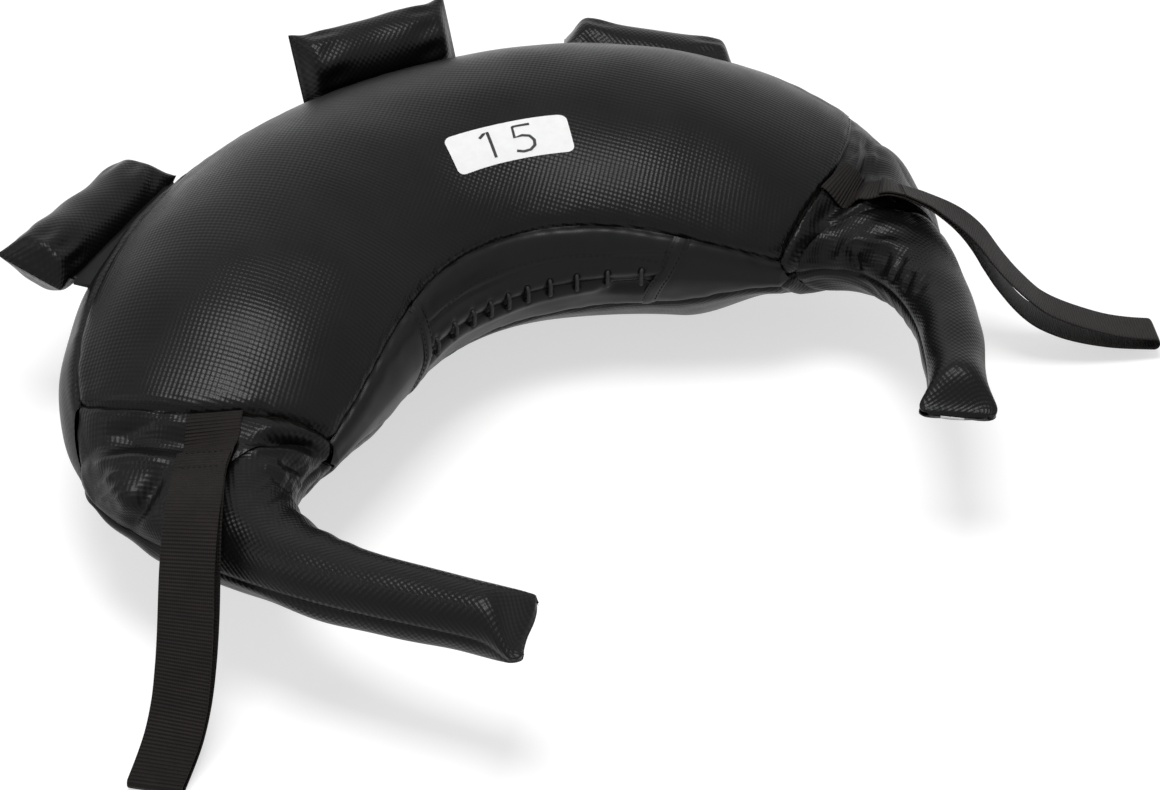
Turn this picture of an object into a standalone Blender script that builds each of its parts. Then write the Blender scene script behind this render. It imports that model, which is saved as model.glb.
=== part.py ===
"""Crescent sandbag trainer with two soft handles, two webbing straps and three roll grips.

Metres, +Z up. The bag lies on its bottom panel. The origin is on the floor under the middle of
the crescent, +Y points to its outer side, and the two handles curve round towards -Y.
"""
import collections
import math

import bmesh
import bpy
import numpy as np
from mathutils import Matrix, Vector

# Bow: the line through the middle of the bag, in plan. Angles here and below are in radians.
BOW_HALF_SPAN = 0.238
BOW_DEPTH = 0.231
BOW_PINCH = 0.0075
END_ANGLE = 1.218

# Cross-section of the bag at the middle of the bow and at its two ends.
MIDDLE_HALF_WIDTH = 0.1125
END_HALF_WIDTH = 0.0760
WIDTH_POWER = 3.6
MIDDLE_CROWN = 0.0850
END_CROWN = 0.0410
CROWN_POWER = 3.6
END_RISE = 0.0400
END_DEPTH = 0.0420
FLOOR_SINK = 0.0040
FLAT_SHARE = 0.68
SECTION_POWER = 1.05
LOW_POWER = 1.30
LOW_START_SHARE = 0.30

# Sewn panels.
SKIN = 0.0012
SEAM_GAP = 0.0009
END_SEAM_GAP = 0.0015
FIT = 0.0003
OUTER_SEAM_ANGLE = 0.69
OUTER_SEAM_END_ANGLE = 0.50
INNER_SEAM_ANGLE = 0.50
INNER_SEAM_END_ANGLE = 0.29
OUTER_POINT = 0.0120
INNER_POINT = 0.0120
BOW_ROWS = 32

# Handles: a path that leaves the bow's end and turns inward, one entry for each side.
HANDLE = {
    "left": {"length": 0.252, "turn": math.radians(-38), "power": 2.4, "slant": 0.004},
    "right": {"length": 0.234, "turn": math.radians(-39), "power": 2.2, "slant": 0.0},
}
PATH_STEPS = 240
SHOULDER = 0.0350
SHOULDER_POWER = 1.6
HANDLE_HALF_WIDTH = 0.0235
HANDLE_CROWN = 0.0235
HANDLE_RISE = 0.0200
TIP_HALF_WIDTH = 0.0250
TIP_CROWN = 0.0028
TIP_LENGTH = 0.0450
TIP_POWER = 0.45
NECK = 0.0400
NECK_SLANT = 0.0220
CORE_START = 0.0500
CORE_TIP_GAP = 0.0070
CORE_FIT = 0.0009

# Filler bag.
FILLER_FIT = 0.0016
FILLER_REACH = 0.0340
FILLER_RECESS = 0.0034

# Laced closure in the inner gusset: the bow angles of its two bindings, top and bottom.
PLACKET_LEFT_ANGLES = (-0.60, -0.68)
PLACKET_RIGHT_ANGLES = (0.86, 0.72)
BINDING_WIDTH = 0.0080
STITCHES = 10
STITCH_START_ANGLE = -0.572
STITCH_END_ANGLE = 0.708
STITCH_HALF = 0.0080
CORD_RADIUS = 0.0015
HOLE_RADIUS = 0.0029
HOLE_SIDES = 8

# Webbing straps: the fold's place from the bow's end, the free run from it to the tip with its
# heading in plan, and its fall as shares of run and height.
STRAP_WIDTH = 0.0320
PLY = 0.0016
FOLD_AHEAD = 0.0450
FOLD_ASIDE = 0.0021
STRAP = {
    "left": {"run": 0.1239, "heading": math.radians(-47.9), "gap": 0.0100,
             "roll": math.radians(14), "end_roll": 0.0,
             "fall_shares": ((0.0, 1.0), (0.10, 1.01), (0.20, 0.99), (0.30, 0.92), (0.40, 0.79),
                             (0.50, 0.60), (0.60, 0.42), (0.70, 0.26), (0.82, 0.12), (1.0, 0.0))},
    "right": {"run": 0.1766, "heading": math.radians(-30.6), "gap": 0.0100,
              "roll": math.radians(24), "end_roll": math.radians(16),
              "fall_shares": ((0.0, 1.0), (0.10, 0.955), (0.203, 0.82), (0.31, 0.645), (0.375, 0.48),
                              (0.44, 0.335), (0.537, 0.19), (0.678, 0.085), (0.82, 0.045), (1.0, 0.04))},
}
STRAP_STEPS = 22
GAP_START_SHARE = 0.12
GAP_END_SHARE = 0.52
ROLL_END_SHARE = 0.75
NOSE_STEPS = 4
ROOT_INSET_SHARE = 0.7
ROOT_GAP = 0.0012

# Roll grips: bow angle, seat angle round the section, tilt at rest, twist, dip, length, standoff.
GRIP = {
    "left": {"angle": -0.612, "seat": 0.31, "tilt": math.radians(0), "twist": math.radians(-34),
             "dip": 0.0, "length": 0.136, "standoff": 0.0030},
    "centre": {"angle": 0.092, "seat": 0.34, "tilt": math.radians(64), "twist": 0.0,
               "dip": 0.0, "length": 0.114, "standoff": 0.0044},
    "right": {"angle": 0.67, "seat": 0.29, "tilt": math.radians(-27), "twist": 0.0,
              "dip": math.radians(8), "length": 0.122, "standoff": 0.0046},
}
GRIP_HALF_WIDTH = 0.0222
GRIP_CROWN = 0.0190
GRIP_REACH = 0.0026
GRIP_END_HALF_WIDTH = 0.0235
GRIP_END_CROWN = 0.0030
GRIP_END_LENGTH = 0.0200
GRIP_CORE_GAP = 0.0090
TAB_REACH = 0.0011
TAB_THICKNESS = 0.0030

COLOURS = {
    "embossed": ((0.022, 0.022, 0.024), 0.45),
    "smooth": ((0.020, 0.020, 0.022), 0.40),
    "webbing": ((0.018, 0.014, 0.012), 0.85),
    "cord": ((0.012, 0.012, 0.012), 0.70),
    "canvas": ((0.180, 0.160, 0.130), 0.90),
    "foam": ((0.060, 0.060, 0.065), 0.95),
}


def clear_scene():
    """Remove every object of the open scene."""
    for obj in list(bpy.data.objects):
        bpy.data.objects.remove(obj, do_unlink=True)


def collection(name):
    """Make a collection under the scene's own."""
    group = bpy.data.collections.new(name)
    bpy.context.scene.collection.children.link(group)
    return group


def material(name, finish):
    """Principled material with the colour and roughness of a finish."""
    colour, roughness = COLOURS[finish]
    mat = bpy.data.materials.new(name)
    mat.use_nodes = True
    shader = mat.node_tree.nodes["Principled BSDF"]
    shader.inputs["Base Color"].default_value = (*colour, 1.0)
    shader.inputs["Roughness"].default_value = roughness
    return mat


def smooth(x):
    """Ease from 0 to 1 with level ends."""
    x = min(max(x, 0.0), 1.0)
    return x * x * (3 - 2 * x)


def mix(a, b, x):
    """Value at share x of the way from a to b."""
    return a + (b - a) * x


def signed_power(x, power):
    """Power that keeps the sign of x."""
    return math.copysign(abs(x) ** power, x)


def bow(angle):
    """Centre and outward direction of the bow in plan."""
    x = BOW_HALF_SPAN * math.sin(angle) - BOW_PINCH * math.sin(3 * angle)
    y = BOW_DEPTH * math.cos(angle) - BOW_DEPTH
    run_x = BOW_HALF_SPAN * math.cos(angle) - 3 * BOW_PINCH * math.cos(3 * angle)
    run_y = -BOW_DEPTH * math.sin(angle)
    run = math.hypot(run_x, run_y)
    return x, y, -run_y / run, run_x / run


def handle_path(side):
    """Sampled path of one handle: distance, x, y and heading, for the +X side."""
    shape = HANDLE[side]
    x, y, out_x, out_y = bow(END_ANGLE)
    lead = math.atan2(out_y, out_x)
    share = np.linspace(0, 1, PATH_STEPS + 1)
    heading = lead + (shape["turn"] - lead) * (1 - (1 - share) ** shape["power"])
    step = shape["length"] / PATH_STEPS
    run_x = np.concatenate([[0], np.cumsum(np.sin((heading[1:] + heading[:-1]) / 2))]) * step
    run_y = np.concatenate([[0], np.cumsum(-np.cos((heading[1:] + heading[:-1]) / 2))]) * step
    return share * shape["length"], x + run_x, y + run_y, heading


PATHS = {side: handle_path(side) for side in HANDLE}


def side_of(along):
    """Name of the side on which a place along the bag lies."""
    return "left" if along < 0 else "right"


def along_at(side, distance):
    """Place along the bag at a distance past the bow's end: +-1 is the end seam."""
    sign = -1 if side == "left" else 1
    return sign * (1 + distance / HANDLE[side]["length"])


def bow_heights(share):
    """Crown, centre height and depth of the bow's section at a share of its half length."""
    crown = mix(MIDDLE_CROWN, END_CROWN, share ** CROWN_POWER)
    centre = crown + END_RISE * share ** 2
    end_depth = END_CROWN + END_RISE + FLOOR_SINK - END_DEPTH
    droop = smooth((share - FLAT_SHARE) / (1 - FLAT_SHARE))
    return crown, centre, centre + FLOOR_SINK - end_depth * droop


Section = collections.namedtuple(
    "Section", "x y out_x out_y half crown depth centre edge power low_power")


def section(along):
    """Section of the bag at a place along it: +-1 is the end seam, and beyond that is the handle."""
    share = abs(along)
    if share <= 1:
        x, y, out_x, out_y = bow(along * END_ANGLE)
        half = mix(MIDDLE_HALF_WIDTH, END_HALF_WIDTH, share ** WIDTH_POWER)
        crown, centre, depth = bow_heights(share)
        low_power = mix(SECTION_POWER, LOW_POWER, smooth((share - LOW_START_SHARE) / LOW_START_SHARE))
        return Section(x, y, out_x, out_y, half, crown, depth, centre, 0.0, SECTION_POWER, low_power)
    side = side_of(along)
    sign = -1 if along < 0 else 1
    length = HANDLE[side]["length"]
    distance = (share - 1) * length
    steps, path_x, path_y, headings = PATHS[side]
    heading = np.interp(distance, steps, headings)
    x = sign * np.interp(distance, steps, path_x)
    y = np.interp(distance, steps, path_y)
    neck = math.exp(-(distance / SHOULDER) ** SHOULDER_POWER)
    flat = smooth((distance - length + TIP_LENGTH) / TIP_LENGTH)
    half = mix(mix(HANDLE_HALF_WIDTH, END_HALF_WIDTH, neck), TIP_HALF_WIDTH, flat)
    crown = mix(mix(HANDLE_CROWN, END_CROWN, neck), TIP_CROWN, flat)
    depth = mix(mix(HANDLE_CROWN, END_DEPTH, neck), TIP_CROWN, flat)
    centre = END_CROWN + END_RISE + HANDLE_RISE * smooth(distance / length)
    power = mix(SECTION_POWER, TIP_POWER, flat)
    low_power = mix(mix(SECTION_POWER, LOW_POWER, neck), TIP_POWER, flat)
    return Section(x, y, sign * math.cos(heading), math.sin(heading), half, crown, depth, centre,
                   SKIN * flat, power, low_power)


def skin(along, angle, inset=0.0, share=1.0):
    """Point of the bag's outer surface, or of a surface inset from it, at an angle round the section."""
    cut = section(along)
    upper = math.sin(angle) > 0
    power = cut.power if upper else cut.low_power
    across = (cut.half - inset) * share * signed_power(math.cos(angle), power)
    height = (cut.crown if upper else cut.depth) - inset
    lift = math.copysign(cut.edge, math.sin(angle)) if cut.edge else 0.0
    rise = lift + (height - cut.edge) * share * signed_power(math.sin(angle), power)
    return Vector((cut.x + cut.out_x * across, cut.y + cut.out_y * across, max(cut.centre + rise, inset)))


def outer_seam(along):
    """Angle of the seam between a face panel and the outer gusset."""
    share = min(abs(along), 1.0)
    return mix(OUTER_SEAM_ANGLE, OUTER_SEAM_END_ANGLE, share ** 2)


def inner_seam(along):
    """Angle, from the inward direction, of the seam between a face panel and the inner gusset."""
    share = min(abs(along), 1.0)
    return mix(INNER_SEAM_ANGLE, INNER_SEAM_END_ANGLE, share ** 2)


def gap_angle(along, angle):
    """Half a seam gap as an angle round the section."""
    cut = section(along)
    height = cut.crown if math.sin(angle) > 0 else cut.depth
    return SEAM_GAP / 2 / math.hypot(cut.half * math.sin(angle), height * math.cos(angle))


def edge_angle(along, sign):
    """Angle at which the skin, on its way up or down from the side, has left half a seam gap."""
    cut = section(along)
    height = (cut.crown if sign > 0 else cut.depth) - cut.edge
    power = cut.power if sign > 0 else cut.low_power
    return math.asin((SEAM_GAP / 2 / height) ** (1 / power))


def add_mesh(name, mesh, group, finish):
    """Link a mesh as a named object with its own material."""
    obj = bpy.data.objects.new(name, mesh)
    mesh.materials.append(material(name, finish))
    mesh.shade_smooth()
    mesh.set_sharp_from_angle(angle=math.radians(40))
    group.objects.link(obj)
    return obj


def thicken(obj, thickness, offset=-1):
    """Give an open surface its thickness."""
    solid = obj.modifiers.new("thickness", "SOLIDIFY")
    solid.thickness = thickness
    solid.offset = offset
    solid.use_even_offset = True
    return solid


def patch(name, place, rows, columns, group, finish, thickness=SKIN, offset=-1, flip=False, wrap=False):
    """Panel cut from a sheet of rows by columns, laid by place(u, v) and thickened."""
    sheet = bmesh.new()
    bmesh.ops.create_grid(sheet, x_segments=rows, y_segments=columns, size=1)
    for vert in sheet.verts:
        vert.co = place((vert.co.x + 1) / 2, (vert.co.y + 1) / 2)
    if wrap:
        bmesh.ops.remove_doubles(sheet, verts=sheet.verts, dist=FIT / 100)
    if flip:
        bmesh.ops.reverse_faces(sheet, faces=sheet.faces)
    mesh = bpy.data.meshes.new(name)
    sheet.to_mesh(mesh)
    sheet.free()
    obj = add_mesh(name, mesh, group, finish)
    thicken(obj, thickness, offset)
    return obj


def pod(name, place, rings, sides, group, finish, flip=False):
    """Closed stuffed body: a ball whose rings are laid by place(u, angle, share)."""
    ball = bmesh.new()
    bmesh.ops.create_uvsphere(ball, u_segments=sides, v_segments=rings, radius=1)
    for vert in ball.verts:
        u = 1 - math.acos(min(max(vert.co.z, -1), 1)) / math.pi * 2
        share = (1 - abs(u) ** 8) ** (1 / 8)
        vert.co = place(u, math.atan2(vert.co.y, vert.co.x), share)
    if flip:
        bmesh.ops.reverse_faces(ball, faces=ball.faces)
    mesh = bpy.data.meshes.new(name)
    ball.to_mesh(mesh)
    ball.free()
    return add_mesh(name, mesh, group, finish)


def bow_reach(margin):
    """Place along the bag, short of the end seam by half its gap."""
    return 1 - margin / (BOW_HALF_SPAN * END_ANGLE)


def face_panel(name, upper, group):
    """Large face of the crescent, from the inner to the outer seam."""
    sign = 1 if upper else -1
    reach = bow_reach(END_SEAM_GAP / 2)

    def place(u, v):
        along = mix(-reach, reach, u)
        low = outer_seam(along)
        high = math.pi - inner_seam(along)
        low += gap_angle(along, sign * low)
        high -= gap_angle(along, sign * high)
        return skin(along, sign * mix(low, high, v))

    return patch(name, place, BOW_ROWS, 14, group, "embossed", flip=upper)


def point_reach(point, side, v):
    """Place along the bag of a gusset's end, which tapers to a point at the middle of its width."""
    return along_at(side, point * (1 - abs(2 * v - 1)) - SEAM_GAP / 2)


def outer_gusset(group):
    """Strip round the outside of the bow, with a pointed end on each side."""

    def place(u, v):
        along = mix(point_reach(OUTER_POINT, "left", v), point_reach(OUTER_POINT, "right", v), u)
        seam = outer_seam(along)
        seam -= gap_angle(along, seam)
        return skin(along, mix(-seam, seam, v))

    return patch("outer_gusset", place, BOW_ROWS, 6, group, "embossed", flip=True)


def inner_angle(along, v):
    """Angle on the inner gusset at share v of its height, from the top seam down."""
    seam = inner_seam(along)
    seam -= gap_angle(along, math.pi - seam)
    return math.pi + mix(-seam, seam, v)


def placket_edge(ends, v):
    """Place along the bag of one end of the laced placket at share v of the gusset's height."""
    return mix(ends[0], ends[1], v) / END_ANGLE


def bow_gap():
    """Half a seam gap as a step along the bow, on its inner side."""
    return SEAM_GAP / 2 / (BOW_DEPTH - MIDDLE_HALF_WIDTH) / END_ANGLE


def inner_gusset(side, group):
    """Smooth strip inside the bow, from the placket to a pointed end."""

    def place(u, v):
        end = point_reach(INNER_POINT, side, v)
        if side == "left":
            along = mix(end, placket_edge(PLACKET_LEFT_ANGLES, v) - bow_gap(), u)
        else:
            along = mix(placket_edge(PLACKET_RIGHT_ANGLES, v) + bow_gap(), end, u)
        return skin(along, inner_angle(along, v))

    return patch(f"inner_gusset_{side}", place, 9, 6, group, "smooth", flip=True)


def flap_place(low, high):
    """Placer for a flap of the placket between two shares of the gusset's height."""

    def place(u, v):
        height = mix(low, high, v)
        left = placket_edge(PLACKET_LEFT_ANGLES, height) + bow_gap()
        right = placket_edge(PLACKET_RIGHT_ANGLES, height) - bow_gap()
        along = mix(left, right, u)
        return skin(along, inner_angle(along, height))

    return place


def stitch_along(index):
    """Place along the bag of one stitch of the lacing."""
    return mix(STITCH_START_ANGLE, STITCH_END_ANGLE, index / (STITCHES - 1)) / END_ANGLE


def lace_point(along, rise, lift):
    """Point beside the laced joint: rise above it, lift out from the middle of the flap."""
    cut = section(along)
    height = cut.crown if rise > 0 else cut.depth
    return skin(along, math.pi - math.asin(rise / height), SKIN / 2 - lift)


def hole_cutter(name, rise, group):
    """Row of round punches, one through each lace hole of a flap."""
    punches = bmesh.new()
    length = 8 * SKIN
    for index in range(STITCHES):
        along = stitch_along(index)
        inner = lace_point(along, rise, -SKIN)
        axis = lace_point(along, rise, SKIN) - inner
        turn = axis.to_track_quat("Z", "Y").to_matrix().to_4x4()
        bmesh.ops.create_cone(punches, cap_ends=True, segments=HOLE_SIDES, radius1=HOLE_RADIUS,
                              radius2=HOLE_RADIUS, depth=length,
                              matrix=Matrix.Translation(inner + axis / 2) @ turn)
    mesh = bpy.data.meshes.new(name)
    punches.to_mesh(mesh)
    punches.free()
    cutter = bpy.data.objects.new(name, mesh)
    cutter.hide_render = True
    cutter.display_type = "WIRE"
    group.objects.link(cutter)
    return cutter


def placket(group, cutters):
    """Upper and lower flap of the laced opening, each with its row of holes."""
    joint = SEAM_GAP / 2 / (INNER_SEAM_ANGLE * MIDDLE_CROWN * 2)
    spans = {"placket_upper_flap": (0, 0.5 - joint, STITCH_HALF),
             "placket_lower_flap": (0.5 + joint, 1, -STITCH_HALF)}
    for name, (low, high, rise) in spans.items():
        flap = patch(name, flap_place(low, high), 24, 6, group, "smooth", flip=True)
        cut = flap.modifiers.new("lace_holes", "BOOLEAN")
        cut.operation = "DIFFERENCE"
        cut.solver = "EXACT"
        cut.object = hole_cutter(f"{name}_punch", rise, cutters)


def binding(side, ends, group):
    """Binding band over the joint between the placket and the gusset."""
    half = BINDING_WIDTH / 2 / (BOW_DEPTH - MIDDLE_HALF_WIDTH) / END_ANGLE

    def place(u, v):
        along = placket_edge(ends, v) + mix(-half, half, u)
        return skin(along, inner_angle(along, v), -2 * FIT)

    return patch(f"placket_binding_{side}", place, 2, 6, group, "smooth", offset=1, flip=True)


def lacing(group):
    """One cord whip-stitched across the joint: down outside, slanting up to the next hole inside."""
    lift = SKIN / 2 + CORD_RADIUS + FIT
    turn = STITCH_HALF - (HOLE_RADIUS - CORD_RADIUS)
    rises = (STITCH_HALF, turn, 0, -turn, -STITCH_HALF, -turn, 0, turn)
    lifts = (0, lift, lift, lift, 0, -lift, -lift, -lift)
    steps = (0, 0, 0, 0, 0, 0.1, 0.5, 0.9)
    points = []
    for index in range(STITCHES):
        for rise, out, step in zip(rises, lifts, steps):
            place = min(index + step, STITCHES - 1)
            points.append(lace_point(stitch_along(place), rise, out))
    cord = bpy.data.curves.new("closure_lacing", "CURVE")
    cord.dimensions = "3D"
    cord.bevel_depth = CORD_RADIUS
    cord.bevel_resolution = 1
    cord.use_fill_caps = True
    line = cord.splines.new("POLY")
    line.points.add(len(points) - 1)
    for point, place in zip(line.points, points):
        point.co = (*place, 1)
    cord.materials.append(material("closure_lacing", "cord"))
    group.objects.link(bpy.data.objects.new("closure_lacing", cord))


def neck_seam(angle):
    """Distance past the end seam of the ring where the handle's cover starts."""
    return NECK + NECK_SLANT * math.cos(angle)


def end_panel(side, upper, group):
    """Panel between the end seam, the gussets' points and the handle."""
    sign = 1 if upper else -1
    low_share = 2 / 12
    seam_low = OUTER_SEAM_END_ANGLE
    seam_high = math.pi - INNER_SEAM_END_ANGLE
    columns = (0, low_share, 1 - low_share, 1)

    def place(u, v):
        margin = edge_angle(along_at(side, 0), sign)
        angle = np.interp(v, columns, (margin, seam_low, seam_high, math.pi - margin))
        start = END_SEAM_GAP / 2
        start += OUTER_POINT * max(0, 1 - angle / seam_low)
        start += INNER_POINT * max(0, 1 - (math.pi - angle) / INNER_SEAM_END_ANGLE)
        stop = neck_seam(angle) - SEAM_GAP / 2
        along = along_at(side, mix(start, stop, u))
        if v == 0:
            angle = edge_angle(along, sign)
        if v == 1:
            angle = math.pi - edge_angle(along, sign)
        return skin(along, sign * angle)

    level = "upper" if upper else "lower"
    return patch(f"end_panel_{level}_{side}", place, 5, 12, group, "embossed",
                 flip=upper == (side == "right"))


def tip_reach(side, angle):
    """Distance past the end seam of the tip's edge, which is cut at a slant."""
    return HANDLE[side]["length"] + HANDLE[side]["slant"] * math.cos(angle)


def handle_cover(side, upper, group):
    """Half of a handle's tube, sewn to its twin down both sides and flat across the tip."""
    sign = 1 if upper else -1

    def place(u, v):
        rough = math.pi * v
        start = neck_seam(rough) + SEAM_GAP / 2
        along = along_at(side, mix(start, tip_reach(side, rough), u))
        margin = edge_angle(along, sign)
        return skin(along, sign * mix(margin, math.pi - margin, v))

    level = "upper" if upper else "lower"
    return patch(f"handle_cover_{level}_{side}", place, 13, 8, group, "embossed",
                 flip=upper == (side == "right"))


def handle_core(side, group):
    """Stuffed core of a handle, tapering into the flat tip."""
    stop = HANDLE[side]["length"] - CORE_TIP_GAP

    def place(u, angle, share):
        along = along_at(side, mix(CORE_START, stop, (u + 1) / 2))
        cut = section(along)
        inset = SKIN + CORE_FIT
        across = (cut.half - inset) * share * signed_power(math.cos(angle), cut.power)
        rise = max(cut.crown - inset, FIT) * share * signed_power(math.sin(angle), cut.power)
        return Vector((cut.x + cut.out_x * across, cut.y + cut.out_y * across, cut.centre + rise))

    return pod(f"handle_core_{side}", place, 14, 12, group, "foam", flip=side == "left")


def filler_bag(group):
    """Inner bag with the sand and textile filling, set back behind the lacing."""
    middle = (PLACKET_LEFT_ANGLES[0] + PLACKET_RIGHT_ANGLES[0]) / 2 / END_ANGLE
    reach = (PLACKET_RIGHT_ANGLES[0] - PLACKET_LEFT_ANGLES[0]) / 2 / END_ANGLE * 1.3

    def place(u, angle, share):
        side = side_of(u)
        limit = abs(along_at(side, FILLER_REACH))
        along = u * limit
        window = smooth(1.6 - 1.6 * ((along - middle) / reach) ** 2)
        facing = smooth(1.5 - 3 * abs(abs(angle) - math.pi))
        inset = SKIN + FILLER_FIT + FILLER_RECESS * window * facing
        return skin(along, angle, inset, share)

    return pod("filler_bag", place, 36, 28, group, "canvas")


def strap_frame(side):
    """Fold point, direction in plan, and run of a strap, on its own side of the bag."""
    sign = -1 if side == "left" else 1
    x, y, out_x, out_y = bow(END_ANGLE)
    fold_x = x + out_y * FOLD_AHEAD + out_x * FOLD_ASIDE
    fold_y = y - out_x * FOLD_AHEAD + out_y * FOLD_ASIDE
    heading = STRAP[side]["heading"]
    run = Vector((sign * math.cos(heading), math.sin(heading)))
    return Vector((sign * fold_x, fold_y)), run, STRAP[side]["run"]


def plan_to_skin(side, place):
    """Distance past the end seam and offset from the handle's path of a point in plan."""
    sign = -1 if side == "left" else 1
    steps, path_x, path_y, headings = PATHS[side]
    index = int(np.argmin(np.hypot(path_x - sign * place[0], path_y - place[1])))
    heading = headings[index]
    dx = sign * place[0] - path_x[index]
    dy = place[1] - path_y[index]
    return steps[index], dx * math.cos(heading) + dy * math.sin(heading)


def skin_top(side, distance, offset):
    """Point on the upper surface past the end seam, at an offset from the handle's path."""
    along = along_at(side, distance)
    cut = section(along)
    share = min(max(offset / cut.half, -1), 1)
    return skin(along, math.acos(signed_power(share, 1 / cut.power)))


def strap_roll(side, share):
    """Roll of the strap at a share of its run: the outer edge is lower near the fold."""
    return mix(STRAP[side]["end_roll"], STRAP[side]["roll"], smooth(1 - share / ROLL_END_SHARE))


def strap_across(side, share):
    """Direction from a strap's inner to its outer edge, and the direction out of its upper face."""
    _, run, _ = strap_frame(side)
    level = Vector((-run.y, run.x, 0)) * (1 if side == "right" else -1)
    roll = strap_roll(side, share)
    up = Vector((0, 0, 1))
    return level * math.cos(roll) - up * math.sin(roll), up * math.cos(roll) + level * math.sin(roll)


def fold_centre(side):
    """Middle of the fold line on the webbing's underside, clear of the shoulder below it."""
    fold, _, _ = strap_frame(side)
    across, _ = strap_across(side, 0)
    needed = []
    for place in np.linspace(-STRAP_WIDTH / 2, STRAP_WIDTH / 2, 9):
        spot = fold + across.xy * place
        needed.append(skin_top(side, *plan_to_skin(side, spot)).z - across.z * place)
    return Vector((fold.x, fold.y, max(needed) + 4 * FIT))


def strap_root(side, group):
    """Two plies of webbing sewn down on the shoulder, from the end seam to the fold."""
    centre = fold_centre(side)
    across, _ = strap_across(side, 0)
    _, run, _ = strap_frame(side)
    seam_inner = -STRAP_WIDTH * ROOT_INSET_SHARE
    starts = [skin_top(side, 2 * SEAM_GAP, seam_inner + STRAP_WIDTH * v).xy for v in (0, 1)]

    def place(u, v):
        end = centre + across * STRAP_WIDTH * (v - 0.5)
        end -= Vector((run.x, run.y, 0)) * ROOT_GAP
        spot = mix(mix(starts[0], starts[1], v), end.xy, u)
        lift = end.z - skin_top(side, *plan_to_skin(side, end.xy)).z
        level = skin_top(side, *plan_to_skin(side, spot)).z + mix(2 * FIT, lift, smooth((u - 0.2) / 0.8))
        return Vector((spot.x, spot.y, level))

    return patch(f"strap_root_{side}", place, 8, 4, group, "webbing", 2 * PLY, 1, flip=side == "left")


def strap_profile(side):
    """Underside of the free strap from the fold to the tip: run and height of evenly spread points."""
    shares = np.array(STRAP[side]["fall_shares"])
    _, _, run = strap_frame(side)
    height = fold_centre(side).z
    count = len(shares)
    knots = np.linspace(0, 1, count)
    slopes = np.gradient(shares, knots, axis=0)
    points = []
    for share in np.linspace(0, 1, STRAP_STEPS + 1):
        index = min(int(share * (count - 1)), count - 2)
        width = knots[index + 1] - knots[index]
        x = (share - knots[index]) / width
        first = (1 + 2 * x) * (1 - x) ** 2 * shares[index] + x * (1 - x) ** 2 * width * slopes[index]
        last = x * x * (3 - 2 * x) * shares[index + 1] + x * x * (x - 1) * width * slopes[index + 1]
        across, up = first + last
        points.append(np.array([across * run, max(up, 0) * (height - 2 * FIT) + 2 * FIT]))
    return np.array(points)


def strap_gap(side, share):
    """Opening between the two plies at a share of the run."""
    rise = smooth((share - GAP_START_SHARE) / (0.5 - GAP_START_SHARE))
    fall = smooth((share - 0.6) / 0.4)
    return FIT + (STRAP[side]["gap"] - FIT) * rise * mix(1, GAP_END_SHARE, fall)


def strap_loop(side, group):
    """Free loop: one length of webbing that runs out, turns over at the tip and comes back on top."""
    fold, run, length = strap_frame(side)
    line = strap_profile(side)
    tangents = np.gradient(line, axis=0)
    tangents /= np.linalg.norm(tangents, axis=1)[:, None]
    tangents[0] = (1, 0)
    line[0, 0] += FIT
    shares = line[:, 0] / length
    last_gap = strap_gap(side, 1)
    radius = (PLY + last_gap) / 2
    stations = []
    for index, share in enumerate(shares):
        stations.append((index, PLY / 2, 0.0))
    for step in range(1, NOSE_STEPS):
        turn = math.pi * step / NOSE_STEPS
        stations.append((STRAP_STEPS, PLY / 2 + radius * (1 - math.cos(turn)), radius * math.sin(turn)))
    for index in reversed(range(STRAP_STEPS + 1)):
        stations.append((index, 1.5 * PLY + strap_gap(side, shares[index]), 0.0))
    count = len(stations) - 1

    def place(u, v):
        index, lift, nose = stations[round(u * count)]
        across, up = strap_across(side, shares[index])
        along, rise = tangents[index]
        forward = Vector((run.x * along, run.y * along, rise))
        normal = up * along - Vector((run.x, run.y, 0)) * rise
        base = Vector((fold.x + run.x * line[index, 0], fold.y + run.y * line[index, 0], line[index, 1]))
        return base + forward * nose + normal * lift + across * STRAP_WIDTH * (v - 0.5)

    patch(f"strap_loop_{side}", place, count, 1, group, "webbing", PLY, 0)


def grip_frame(name):
    """Hinge point of a grip, with the directions along its axis, out from it, up and out of the skin."""
    shape = GRIP[name]
    along = shape["angle"] / END_ANGLE
    point = skin(along, shape["seat"])
    _, _, out_x, out_y = bow(shape["angle"])
    outward = Vector((out_x, out_y, 0))
    level = Vector((out_y, -out_x, 0))
    tangent = level * math.cos(shape["dip"]) - Vector((0, 0, 1)) * math.sin(shape["dip"])
    upward = outward.cross(tangent) * -1
    slope = skin(along, shape["seat"] + gap_angle(along, shape["seat"])) - point
    normal = level.cross(slope).normalized() * -1
    return point + normal * shape["standoff"], tangent, outward, upward, normal


def grip_section(length, y):
    """Half width, half thickness and power of a grip's section at a place y along it."""
    flat = smooth((abs(y) - length / 2 + GRIP_END_LENGTH) / GRIP_END_LENGTH)
    half = mix(GRIP_HALF_WIDTH, GRIP_END_HALF_WIDTH, flat)
    crown = mix(GRIP_CROWN, GRIP_END_CROWN, flat)
    return half, crown, mix(1, TIP_POWER, flat)


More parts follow.
